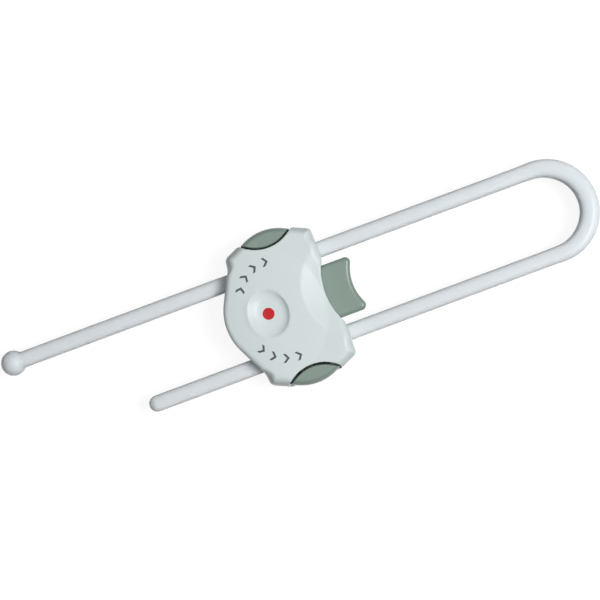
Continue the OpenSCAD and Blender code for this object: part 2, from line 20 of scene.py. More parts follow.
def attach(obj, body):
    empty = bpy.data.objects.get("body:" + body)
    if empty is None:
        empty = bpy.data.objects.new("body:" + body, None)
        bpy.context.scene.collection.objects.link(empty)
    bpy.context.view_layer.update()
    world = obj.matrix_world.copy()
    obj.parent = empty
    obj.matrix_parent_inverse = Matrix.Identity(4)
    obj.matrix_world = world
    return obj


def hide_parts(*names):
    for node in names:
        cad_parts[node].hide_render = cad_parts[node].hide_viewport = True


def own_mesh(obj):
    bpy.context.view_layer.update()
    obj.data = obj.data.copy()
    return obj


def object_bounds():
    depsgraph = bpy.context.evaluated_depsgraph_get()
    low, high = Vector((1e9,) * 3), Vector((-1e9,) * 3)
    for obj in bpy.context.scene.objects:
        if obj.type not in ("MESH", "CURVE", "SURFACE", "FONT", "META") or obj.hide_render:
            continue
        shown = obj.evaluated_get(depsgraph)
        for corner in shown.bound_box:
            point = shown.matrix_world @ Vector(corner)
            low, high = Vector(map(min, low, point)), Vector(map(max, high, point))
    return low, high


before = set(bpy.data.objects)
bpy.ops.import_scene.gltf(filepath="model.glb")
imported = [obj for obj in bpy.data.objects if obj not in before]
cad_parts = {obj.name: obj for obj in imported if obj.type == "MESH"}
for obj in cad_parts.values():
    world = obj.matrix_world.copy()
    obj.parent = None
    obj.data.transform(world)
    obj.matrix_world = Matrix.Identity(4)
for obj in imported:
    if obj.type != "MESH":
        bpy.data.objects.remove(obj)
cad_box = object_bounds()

MM = 0.001
TINY = 1e-6
WHITE = (1.0, 1.0, 1.0, 1.0)
LOG = logging.getLogger("cabinet_lock")

Array = np.ndarray
Point = tuple[float, float]
Place = tuple[float, float, float]
Colour = tuple[float, float, float]
Heights = Callable[[Array], Array]
Socket = bpy.types.NodeSocket


class Body(Enum):
    """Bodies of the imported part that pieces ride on."""

    CASING = "casing"
    BAR = "bar"
    LONG_SQUEEZE = "long_leg_squeeze"
    SHORT_SQUEEZE = "short_leg_squeeze"
    TRIGGER = "trigger"


class Slot(Enum):
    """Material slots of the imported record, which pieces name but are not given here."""

    CASING = "casing"
    BAR = "bar"
    GRIP = "grip"
    SPRING = "spring"
    SCREW = "screw"


class Side(Enum):
    """The two sides of the casing, each with the sign of its Y."""

    LONG = 1
    SHORT = -1

    @property
    def word(self) -> str:
        """The leg's name, as the nodes and joints have it."""
        return "long_leg" if self is Side.LONG else "short_leg"


def smooth(t: Array | float) -> Array | float:
    """Ease from 0 to 1 with level ends."""
    t = np.clip(t, 0.0, 1.0)
    return t * t * (3.0 - 2.0 * t)


def eased(value: Array | float, span: Point) -> Array | float:
    """Ease from 0 at the first end of a span to 1 at its other end."""
    return smooth((value - span[0]) / (span[1] - span[0]))


def rolled(depth: Array, width: Array | float, drop: Array | float) -> Array:
    """Drop of a face that rolls over into a wall.

    Args:
        depth: Distance in from the wall.
        width: How far in the roll starts.
        drop: How far down the wall it ends.

    Returns:
        How far the face lies below its level there.
    """
    left = np.clip(1.0 - depth / width, 0.0, 1.0)
    return drop * (1.0 - np.sqrt(1.0 - left * left))


def lower_of(a: Array | float, b: Array, blend: float) -> Array:
    """The lower of two heights, with a soft crease where they lie within a blend of each other."""
    near = np.clip(blend - np.abs(a - b), 0.0, None) / blend
    return np.minimum(a, b) - near * near * blend / 4.0


def lifted(points: Array, z: float | Array) -> Array:
    """Points of a plan put at a height, or each at its own height."""
    return np.column_stack([points, np.broadcast_to(z, len(points))])


def evened(ring: Array, share: float) -> Array:
    """Points of a closed ring moved along it towards even spacing.

    Args:
        ring: The points in the plan.
        share: How far towards even spacing they go, from 0 to 1.

    Returns:
        As many points on the same line.
    """
    closed = np.vstack([ring, ring[:1]])
    along = np.concatenate([[0.0], np.cumsum(np.linalg.norm(np.diff(closed, axis=0), axis=1))])
    even = np.arange(len(ring)) * along[-1] / len(ring)
    wanted = along[:-1] * (1.0 - share) + even * share
    return np.column_stack([np.interp(wanted, along, closed[:, axis]) for axis in (0, 1)])


def softened(ring: Array, passes: int) -> Array:
    """Points of a closed ring, drawn towards the middle of their neighbours.

    Args:
        ring: The points in the plan.
        passes: How many times they are drawn.

    Returns:
        As many points on a softer line.
    """
    for _ in range(passes):
        ring = 0.5 * ring + 0.25 * (np.roll(ring, 1, axis=0) + np.roll(ring, -1, axis=0))
    return ring


def turn_angles(steps: int) -> Array:
    """Angles of evenly spaced points round a full turn."""
    return np.arange(steps) * 2.0 * math.pi / steps


def unit_circle(steps: int) -> Array:
    """Evenly spaced points of a circle of radius 1."""
    a = turn_angles(steps)
    return np.column_stack([np.cos(a), np.sin(a)])


def arc_points(centre: Point, r: float, first: float, last: float, steps: int) -> Array:
    """Points of an arc between two angles in degrees."""
    a = np.radians(np.linspace(first, last, steps + 1))
    return np.column_stack([centre[0] + r * np.cos(a), centre[1] + r * np.sin(a)])


def quarter_round(r: float, rings: int) -> Array:
    """Insets and drops of rings over a rounded edge, from its wall to its face."""
    a = np.linspace(0.0, 0.5 * math.pi, rings)
    return np.column_stack([r * (1.0 - np.cos(a)), r * (1.0 - np.sin(a))])


@dataclass(frozen=True)
class Corner:
    """Corner of an outline: where its two edges would meet, and the radius that rounds it."""

    x: float
    y: float
    r: float

    def mirrored(self) -> "Corner":
        """The corner on the other side of the Y axis."""
        return Corner(-self.x, self.y, self.r)

    def bow(self, centre_y: float, r: float, way: int) -> "Corner":
        """Corner between this one and its mirror image that an arc about the Y axis rounds.

        Args:
            centre_y: Place of the arc's centre on the Y axis.
            r: Radius of the arc.
            way: 1 for the arc above its centre, -1 for the arc below it.

        Returns:
            The corner, on the Y axis.
        """
        h = abs(self.y - centre_y)
        a = r * r - self.x**2
        b = 2.0 * r * r * h
        c = r * r * (self.x**2 + h * h)
        reach = (b - math.sqrt(max(b * b - 4.0 * a * c, 0.0))) / (2.0 * a)
        return Corner(0.0, centre_y + way * reach, r)


class Outline:
    """Closed counter-clockwise outline with rounded corners, which can be drawn in by any distance."""

    least_steps = 5
    batch = 1000

    def __init__(self, corners: Sequence[Corner], spacing: float, least_r: float = 0.25) -> None:
        """Works out how each corner turns and how many points it and the edge after it get.

        Args:
            corners: The corners in order.
            spacing: Largest distance between neighbouring points.
            least_r: Radius that a corner keeps however far it is drawn in, if it starts with more.
        """
        self.least_r = least_r
        self.vertices = np.array([(c.x, c.y) for c in corners])
        self.radii = np.array([c.r for c in corners])
        way_out = np.roll(self.vertices, -1, axis=0) - self.vertices
        way_out /= np.linalg.norm(way_out, axis=1)[:, None]
        way_in = np.roll(way_out, 1, axis=0)
        self.n_in = np.column_stack([-way_in[:, 1], way_in[:, 0]])
        self.n_out = np.column_stack([-way_out[:, 1], way_out[:, 0]])
        cross = way_in[:, 0] * way_out[:, 1] - way_in[:, 1] * way_out[:, 0]
        dot = (way_in * way_out).sum(axis=1)
        self.turns = np.arctan2(cross, dot)
        self.signs = np.sign(self.turns)
        self.mitres = (self.n_in + self.n_out) / (1.0 + (self.n_in * self.n_out).sum(axis=1))[:, None]
        lengths = self.radii * np.abs(self.turns)
        self.arc_steps = [max(self.least_steps, math.ceil(length / spacing)) for length in lengths]
        starts, ends = self._arc_ends(0.0)
        gaps = np.linalg.norm(np.roll(starts, -1, axis=0) - ends, axis=1)
        self.edge_steps = [max(1, math.ceil(gap / spacing)) for gap in gaps]

    def _arcs(self, inset: float) -> tuple[Array, Array]:
        """Works out the corner arcs of the outline drawn in by a distance.

        Args:
            inset: How far in, square to the edges.

        Returns:
            Their centres and radii.
        """
        drawn_in = np.maximum(self.radii - inset, np.minimum(self.radii, self.least_r))
        radii = np.where(self.signs > 0, drawn_in, self.radii + inset)
        moved = self.vertices + self.mitres * inset
        reach = self.signs * radii / np.cos(self.turns / 2.0)
        bisectors = self.mitres / np.linalg.norm(self.mitres, axis=1)[:, None]
        return moved + bisectors * reach[:, None], radii

    def _arc_ends(self, inset: float) -> tuple[Array, Array]:
        """Works out where the corner arcs begin and end.

        Args:
            inset: How far in the outline is drawn.

        Returns:
            Their first and last points.
        """
        centres, radii = self._arcs(inset)
        arm = (self.signs * radii)[:, None]
        return centres - self.n_in * arm, centres - self.n_out * arm

    def ring(self, inset: float = 0.0) -> Array:
        """Points of the outline drawn in by a distance, always as many and in the same order.

        Args:
            inset: How far in, square to the edges.

        Returns:
            The points as rows of X and Y.
        """
        centres, radii = self._arcs(inset)
        starts, ends = self._arc_ends(inset)
        points = []
        for i, steps in enumerate(self.arc_steps):
            arm = -self.signs[i] * self.n_in[i] * radii[i]
            a = self.turns[i] * np.arange(steps + 1) / steps
            points.append(centres[i] + np.column_stack([
                arm[0] * np.cos(a) - arm[1] * np.sin(a),
                arm[0] * np.sin(a) + arm[1] * np.cos(a),
            ]))
            after = starts[(i + 1) % len(starts)]
            t = np.arange(1, self.edge_steps[i]) / self.edge_steps[i]
            points.append(ends[i] + t[:, None] * (after - ends[i]))
        return np.vstack(points)

    def depth(self, points: Array) -> Array:
        """Measures how far points lie from the outline, some at a time to spare memory.

        Args:
            points: Places in the plan.

        Returns:
            The distance of each.
        """
        a = self.ring()
        ab = np.roll(a, -1, axis=0) - a
        length = (ab * ab).sum(axis=1)
        found = []
        for first in range(0, len(points), self.batch):
            ap = points[first:first + self.batch, None, :] - a[None, :, :]
            t = np.clip((ap * ab).sum(axis=2) / length, 0.0, 1.0)
            found.append(np.linalg.norm(ap - t[:, :, None] * ab, axis=2).min(axis=1))
        return np.concatenate(found)


class Skin:
    """Points and faces of one piece, gathered ring by ring."""

    sharp_angle = 38.0
    weld = 1e-7
    face_shares = (0.8, 0.55, 0.3)

    def __init__(self) -> None:
        """Starts with nothing."""
        self.points: list[Array] = []
        self.faces: list[tuple[int, ...]] = []
        self.count = 0

    def add(self, ring: Array) -> range:
        """Adds a ring of points.

        Args:
            ring: The points.

        Returns:
            Their numbers.
        """
        start = self.count
        self.points.append(np.asarray(ring, float))
        self.count += len(ring)
        return range(start, self.count)

    def bridge(self, lower: Sequence[int], upper: Sequence[int]) -> None:
        """Joins two closed rings with quads.

        Args:
            lower: Numbers of the first ring's points.
            upper: Numbers of the second ring's points, as many.
        """
        n = len(lower)
        for i in range(n):
            j = (i + 1) % n
            self.faces.append((lower[i], lower[j], upper[j], upper[i]))

    def loft(self, rings: Sequence[Array]) -> tuple[range, range]:
        """Adds rings and joins each with the next.

        Args:
            rings: Rings of equal counts.

        Returns:
            The numbers of the first and the last ring's points.
        """
        added = [self.add(ring) for ring in rings]
        for lower, upper in zip(added, added[1:]):
            self.bridge(lower, upper)
        return added[0], added[-1]

    def cap(self, *rings: range) -> None:
        """Closes each ring with one flat face."""
        self.faces += [tuple(ring) for ring in rings]

    def close(self, ring: range, tip: Sequence[float]) -> None:
        """Closes a ring with triangles to one point.

        Args:
            ring: Numbers of the ring's points.
            tip: Place of the point.
        """
        apex = self.add(np.array([tip]))[0]
        n = len(ring)
        for i in range(n):
            self.faces.append((ring[i], ring[(i + 1) % n], apex))

    def level_face(self, ring: range, plan: Array, z: float, middle: Array) -> None:
        """Closes a ring with a level face, by rings that shrink towards its middle.

        Args:
            ring: Numbers of the ring's points.
            plan: The same points in the plan.
            z: Height of the face.
            middle: Place that sees every point of the ring.
        """
        last = ring
        for share in self.face_shares:
            inner = self.add(lifted(middle + (evened(plan, 1.0 - share) - middle) * share, z))
            self.bridge(last, inner)
            last = inner
        self.close(last, (*middle, z))

    def box(self, low: Place, high: Place) -> None:
        """Adds a closed box between two corners."""
        plan = np.array([(low[0], low[1]), (high[0], low[1]), (high[0], high[1]), (low[0], high[1])])
        self.cap(*self.loft([lifted(plan, low[2]), lifted(plan, high[2])]))

    def plate(self, plans: Sequence[Array], low: float, high: float) -> None:
        """Adds a flat plate with holes.

        Args:
            plans: The outline, and then the outline of each hole.
            low: Height of its underside.
            high: Height of its top.
        """
        flat = [[Vector((x, y, 0.0)) for x, y in plan] for plan in plans]
        triangles = tessellate_polygon(flat)
        levels = []
        for z in (low, high):
            level = []
            for plan in plans:
                level += self.add(lifted(plan, z))
            levels.append(level)
            self.faces += [tuple(level[i] for i in triangle) for triangle in triangles]
        first = 0
        for plan in plans:
            rings = [level[first:first + len(plan)] for level in levels]
            self.bridge(rings[0], rings[1])
            first += len(plan)

    def mesh(self, name: str) -> bpy.types.Mesh:
        """Makes a clean mesh in metres, smooth but for its sharp edges.

        Args:
            name: Name of the mesh.

        Returns:
            The new mesh.
        """
        mesh = bpy.data.meshes.new(name)
        mesh.from_pydata(np.vstack(self.points) * MM, [], self.faces)
        work = bmesh.new()
        work.from_mesh(mesh)
        bmesh.ops.remove_doubles(work, verts=work.verts, dist=self.weld)
        bmesh.ops.recalc_face_normals(work, faces=work.faces)
        work.to_mesh(mesh)
        work.free()
        mesh.shade_smooth()
        mesh.set_sharp_from_angle(angle=math.radians(self.sharp_angle))
        return mesh


def linear(r: int, g: int, b: int) -> Colour:
    """Linear colour of three 8-bit screen values above 10, by the screen's standard curve."""
    return tuple(((c / 255 + 0.055) / 1.055) ** 2.4 for c in (r, g, b))


class Wiring:
    """Adds and joins the nodes of one shader tree."""

    def __init__(self, tree: bpy.types.NodeTree) -> None:
        """Takes the tree to work on."""
        self.tree = tree

    def feed(self, node: bpy.types.Node, inputs: Mapping[str | int, object]) -> None:
        """Sets inputs of a node, or links sockets to them.

        Args:
            node: The node.
            inputs: Values or sockets by the input's name or number.
        """
        for place, value in inputs.items():
            if isinstance(value, Socket):
                self.tree.links.new(value, node.inputs[place])
            else:
                node.inputs[place].default_value = value

    def node(self, kind: str, **inputs: object) -> bpy.types.Node:
        """Adds a node and sets or links its inputs.

        Args:
            kind: Blender's name of the node's type.
            inputs: Values or sockets by input name.

        Returns:
            The new node.
        """
        made = self.tree.nodes.new(kind)
        self.feed(made, inputs)
        return made

    def joined(self, kind: str, *values: object, **choices: str) -> Socket:
        """Adds a node whose inputs are fed in order.

        Args:
            kind: Blender's name of the node's type.
            values: Values or sockets, one for each input in turn.
            choices: Settings of the node by name, such as its operation.

        Returns:
            Its first output.
        """
        made = self.tree.nodes.new(kind)
        for name, choice in choices.items():
            setattr(made, name, choice)
        self.feed(made, dict(enumerate(values)))
        return made.outputs[0]


class MouldedSkin:
    """Shader group of a moulded surface: fine grain, soft mottling and an uneven gloss."""

    name = "moulded_skin"
    inputs = ("Grain Scale", "Mottle Scale", "Mottle", "Gloss Change")
    outputs = ("Tone", "Gloss", "Height")
    grain_detail = 3.0
    mottle_detail = 4.0

    @classmethod
    def group(cls) -> bpy.types.NodeTree:
        """The group, made the first time it is asked for."""
        found = bpy.data.node_groups.get(cls.name)
        return found if found else cls._make()

    @classmethod
    def _make(cls) -> bpy.types.NodeTree:
        """Builds the group's nodes.

        Returns:
            The new group, with a tone near 1, a gloss change near 0 and a height from 0 to 1.
        """
        tree = bpy.data.node_groups.new(cls.name, "ShaderNodeTree")
        for way, names in (("INPUT", cls.inputs), ("OUTPUT", cls.outputs)):
            for name in names:
                tree.interface.new_socket(name, in_out=way, socket_type="NodeSocketFloat")
        wiring = Wiring(tree)
        given = wiring.node("NodeGroupInput").outputs
        place = wiring.node("ShaderNodeTexCoord").outputs["Object"]
        grain = wiring.node(
            "ShaderNodeTexNoise", Vector=place, Scale=given["Grain Scale"], Detail=cls.grain_detail
        )
        mottle = wiring.node(
            "ShaderNodeTexNoise", Vector=place, Scale=given["Mottle Scale"], Detail=cls.mottle_detail
        )
        wiring.feed(wiring.node("NodeGroupOutput"), {
            "Tone": cls._about(wiring, mottle.outputs["Fac"], given["Mottle"], 1.0),
            "Gloss": cls._about(wiring, mottle.outputs["Fac"], given["Gloss Change"], 0.0),
            "Height": grain.outputs["Fac"],
        })
        return tree

    @staticmethod
    def _about(wiring: Wiring, noise: Socket, spread: Socket, middle: float) -> Socket:
        """Turns a noise of 0 to 1 into values that spread either way from a middle."""
        centred = wiring.joined("ShaderNodeMath", noise, 2.0, -1.0, operation="MULTIPLY_ADD")
        return wiring.joined("ShaderNodeMath", centred, spread, middle, operation="MULTIPLY_ADD")


class ColourMix(Enum):
    """Numbers of the sockets that a mix node has for colours."""

    FACTOR = 0
    FIRST = 6
    SECOND = 7
    RESULT = 2


@dataclass(frozen=True)
class Finish:
    """Finish of a surface: its colour, gloss and grain."""

    name: str
    colour: Colour
    roughness: float
    metallic: float = 0.0
    grain: float = 0.3
    grain_depth: float = 0.004
    mottle_size: float = 11.0
    mottle: float = 0.02
    gloss_change: float = 0.05
    specular: float = 0.5
    milkiness: float = 0.0
    milk_depth: float = 2.0

    def material(self) -> bpy.types.Material:
        """The finish as a material, made the first time it is asked for."""
        found = bpy.data.materials.get(self.name)
        return found if found else self._make()

    def _make(self) -> bpy.types.Material:
        """Builds the material's nodes.

        Returns:
            The new material.
        """
        made = bpy.data.materials.new(self.name)
        made.use_nodes = True
        wiring = Wiring(made.node_tree)
        skin = wiring.tree.nodes.new("ShaderNodeGroup")
        skin.node_tree = MouldedSkin.group()
        wiring.feed(skin, {
            "Grain Scale": 1.0 / (self.grain * MM),
            "Mottle Scale": 1.0 / (self.mottle_size * MM),
            "Mottle": self.mottle,
            "Gloss Change": self.gloss_change,
        })
        tone, gloss, height = (skin.outputs[name] for name in MouldedSkin.outputs)
        bump = wiring.node("ShaderNodeBump", Strength=1.0, Distance=self.grain_depth * MM, Height=height)
        wiring.feed(wiring.tree.nodes["Principled BSDF"], {
            "Base Color": self._tinted(wiring, tone),
            "Roughness": wiring.joined("ShaderNodeMath", self.roughness, gloss, operation="ADD"),
            "Normal": bump.outputs["Normal"],
            "Metallic": self.metallic,
            "Specular IOR Level": self.specular,
            "Subsurface Weight": self.milkiness,
            "Subsurface Radius": (1.0, 1.0, 1.0),
            "Subsurface Scale": self.milk_depth * MM,
        })
        return made

    def _tinted(self, wiring: Wiring, tone: Socket) -> Socket:
        """Multiplies the colour by a tone.

        Args:
            wiring: Tree to work on.
            tone: The tone over the surface.

        Returns:
            The toned colour.
        """
        tint = wiring.tree.nodes.new("ShaderNodeMix")
        tint.data_type = "RGBA"
        tint.blend_type = "MULTIPLY"
        wiring.feed(tint, {
            ColourMix.FACTOR.value: 1.0,
            ColourMix.FIRST.value: (*self.colour, 1.0),
            ColourMix.SECOND.value: tone,
        })
        return tint.outputs[ColourMix.RESULT.value]


CASING_WHITE = Finish("casing_white", linear(216, 226, 226), 0.22, gloss_change=0.02, specular=0.14)
BAR_WHITE = Finish("bar_white", linear(226, 232, 236), 0.22, specular=0.15, milkiness=1.0, milk_depth=3.0)
GRIP_GREY = Finish("grip_grey", linear(123, 142, 132), 0.27, grain=0.2, mottle=0.01, gloss_change=0.01)
SLIDE_IVORY = Finish("slide_ivory", linear(238, 235, 224), 0.4)
SPRING_STEEL = Finish("spring_steel", linear(205, 206, 209), 0.3, metallic=1.0, grain=0.1)
SCREW_ZINC = Finish("screw_zinc", linear(198, 198, 201), 0.36, metallic=1.0, grain=0.15, mottle=0.06)
INK_GREY = Finish("ink_grey", linear(80, 85, 87), 0.5, grain=0.15, grain_depth=0.002, specular=0.25)
INK_RED = Finish("ink_red", linear(192, 14, 26), 0.42, grain=0.15, grain_depth=0.002, specular=0.25)


def dressed(
    name: str, skin: Skin, finish: Finish, body: Body, slot: Slot | None = None, *stands_for: str
) -> bpy.types.Object:
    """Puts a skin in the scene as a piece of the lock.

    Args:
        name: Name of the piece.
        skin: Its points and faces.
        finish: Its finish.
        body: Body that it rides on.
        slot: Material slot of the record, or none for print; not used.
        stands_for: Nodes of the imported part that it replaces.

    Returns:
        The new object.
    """
    mesh = skin.mesh(name)
    made = bpy.data.objects.new(name, mesh)
    bpy.context.scene.collection.objects.link(made)
    mesh.materials.append(finish.material())
    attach(made, body.value)
    if stands_for:
        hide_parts(*stands_for)
    LOG.info("%s: %d faces on %s", name, len(mesh.polygons), body.value)
    return made


def refinish(node: str, finish: Finish) -> None:
    """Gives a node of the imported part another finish.

    Args:
        node: Name of the node.
        finish: Its new finish.
    """
    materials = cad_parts[node].data.materials
    materials.clear()
    materials.append(finish.material())
    LOG.info("%s keeps its shape, in %s", node, finish.name)


@dataclass
class UBar:
    """The white bar: a long leg with a ball, a short leg with a dome, a thicker bend, and teeth below.

    The upper half of its section is a little square, with an exponent above the 2 of a circle.
    """

    leg_r: float = 3.0
    squareness: float = 3.0
    roundness: float = 2.0
    leg_y: float = 16.0
    leg_z: float = 9.0
    bend_x: float = 98.9
    bend_r: float = 3.55
    taper: Point = (-7.0, 14.0)
    ball_x: float = -101.5
    ball_r: float = 4.6
    neck_r: float = 1.2
    tip_x: float = -60.4
    pitch: float = 2.6
    root: float = 1.75
    crest: float = 3.2
    ledge: float = 0.5
    long_gaps: tuple[int, int] = (-36, 32)
    short_gaps: tuple[int, int] = (-23, 32)
    sides: int = 48
    ball_rings: int = 25
    neck_rings: int = 8
    slope_rings: int = 3
    lead_rings: int = 11
    bend_steps: int = 72
    dome_rings: int = 7

    def build(self) -> Skin:
        """Sweeps rings from the ball round the bend to the dome.

        Returns:
            The bar's skin.
        """
        rings = [
            *self._ball(),
            *self._teeth(Side.LONG, self.long_gaps),
            *self._bend(),
            *reversed(self._teeth(Side.SHORT, self.short_gaps)),
            *self._dome(),
        ]
        skin = Skin()
        first, last = skin.loft(rings)
        skin.close(first, (self.ball_x - self.ball_r, self.leg_y, self.leg_z))
        skin.close(last, (self.tip_x, -self.leg_y, self.leg_z))
        return skin

    def dress(self) -> None:
        """Builds the bar and gives it its finish."""
        dressed("u_bar_swept", self.build(), BAR_WHITE, Body.BAR, Slot.BAR, "u_bar")

    def _ring(
        self, centre: Place, out: Point, r: float, cut: float | None = None, power: float | None = None
    ) -> Array:
        """One ring of the bar.

        Args:
            centre: Where its middle is.
            out: Direction away from the middle of the U, in the plan.
            r: Its radius.
            cut: How far in the tooth line lies there from the axis, if it has one.
            power: Exponent of its upper half, where it isn't the legs' own.

        Returns:
            Its points, from the outer side up, round and back.
        """
        ledge_angle = math.pi + math.asin(self.ledge / self.leg_r)
        angles = turn_angles(self.sides)
        upper = angles[angles < ledge_angle]
        lower = angles[angles > ledge_angle]
        angles = np.concatenate([upper, [ledge_angle, ledge_angle], lower])
        reach = r * self._squared(angles, power or self.squareness)
        across, rise = reach * np.cos(angles), reach * np.sin(angles)
        if cut is not None:
            under = np.arange(len(angles)) > len(upper)
            across = np.where(under, np.maximum(across, -cut), across)
        return np.column_stack([
            centre[0] + across * out[0], centre[1] + across * out[1], centre[2] + rise,
        ])

    @staticmethod
    def _squared(angles: Array, power: float) -> Array:
        """Reach of a unit section: a circle below, and above it a curve of the given exponent."""
        bulge = (np.abs(np.cos(angles)) ** power + np.abs(np.sin(angles)) ** power) ** (-1.0 / power)
        return np.where(np.sin(angles) > 0.0, bulge, 1.0)

    def _leg_ring(
        self, side: Side, x: float, r: float, cut: float | None = None, power: float | None = None
    ) -> Array:
        """A ring square to one leg at a place along it."""
        return self._ring((x, side.value * self.leg_y, self.leg_z), (0.0, side.value), r, cut, power)

    def _ball(self) -> list[Array]:
        """Draws the ball and the hollow blend between it and the leg.

        Returns:
            Their rings.
        """
        reach = math.sqrt((self.ball_r + self.neck_r) ** 2 - (self.leg_r + self.neck_r) ** 2)
        meet = math.atan2(self.leg_r + self.neck_r, reach)
        rings = []
        for a in np.linspace(math.pi, meet, self.ball_rings + 1)[1:]:
            x, r = self.ball_x + self.ball_r * math.cos(a), self.ball_r * math.sin(a)
            rings.append(self._leg_ring(Side.LONG, x, r, power=self.roundness))
        neck = np.linspace(meet + math.pi, 1.5 * math.pi, self.neck_rings + 1)[1:]
        powers = np.linspace(self.roundness, self.squareness, self.neck_rings + 1)[1:]
        for a, power in zip(neck, powers):
            x = self.ball_x + reach + self.neck_r * math.cos(a)
            r = self.leg_r + self.neck_r + self.neck_r * math.sin(a)
            rings.append(self._leg_ring(Side.LONG, x, r, power=power))
        return rings

    def _teeth(self, side: Side, gaps: tuple[int, int]) -> list[Array]:
        """Draws a toothed stretch: each gap starts steep and deep and runs out towards the bend.

        Args:
            side: Which leg.
            gaps: Numbers of its first and last gap, counted from the casing's middle.

        Returns:
            Its rings.
        """
        rings = []
        for gap in range(gaps[0], gaps[1] + 1):
            for share in np.linspace(0.0, 1.0, self.slope_rings + 1):
                x = (gap + share) * self.pitch
                cut = self.root + (self.crest - self.root) * share
                rings.append(self._leg_ring(side, x, self._tip_radius(side, x), cut))
        return rings

    def _tip_radius(self, side: Side, x: float) -> float:
        """Radius of a leg, less near the short leg's round tip.

        Args:
            side: Which leg.
            x: Place along it.

        Returns:
            The radius there.
        """
        into_dome = self.tip_x + self.leg_r - x
        if side is Side.LONG or into_dome <= 0.0:
            return self.leg_r
        return math.sqrt(max(self.leg_r**2 - into_dome**2, 0.0))

    def _bend(self) -> list[Array]:
        """Draws the tapered ends of both legs and the bend between them.

        Returns:
            Their rings.
        """
        lead = np.linspace(self.taper[0], 0.0, self.lead_rings + 1)[:-1]
        rings = [self._leg_ring(Side.LONG, self.bend_x + s, self._bend_radius(s)) for s in lead]
        for a in np.linspace(0.5 * math.pi, -0.5 * math.pi, self.bend_steps + 1):
            out = (math.cos(a), math.sin(a))
            centre = (self.bend_x + self.leg_y * out[0], self.leg_y * out[1], self.leg_z)
            rings.append(self._ring(centre, out, self._bend_radius(self.leg_y * (0.5 * math.pi - abs(a)))))
        rings += [self._leg_ring(Side.SHORT, self.bend_x + s, self._bend_radius(s)) for s in lead[::-1]]
        return rings

    def _bend_radius(self, s: float) -> float:
        """Radius at a distance past the start of the bend."""
        return self.leg_r + (self.bend_r - self.leg_r) * eased(s, self.taper)

    def _dome(self) -> list[Array]:
        """Draws the round tip of the short leg, past its last tooth.

        Returns:
            Its rings.
        """
        past = (self.short_gaps[0] * self.pitch - self.tip_x) / self.leg_r
        rings = []
        for a in np.linspace(math.acos(past - 1.0), math.pi, self.dome_rings + 1)[:-1]:
            x = self.tip_x + self.leg_r + self.leg_r * math.cos(a)
            rings.append(self._leg_ring(Side.SHORT, x, self.leg_r * math.sin(a)))
        return rings


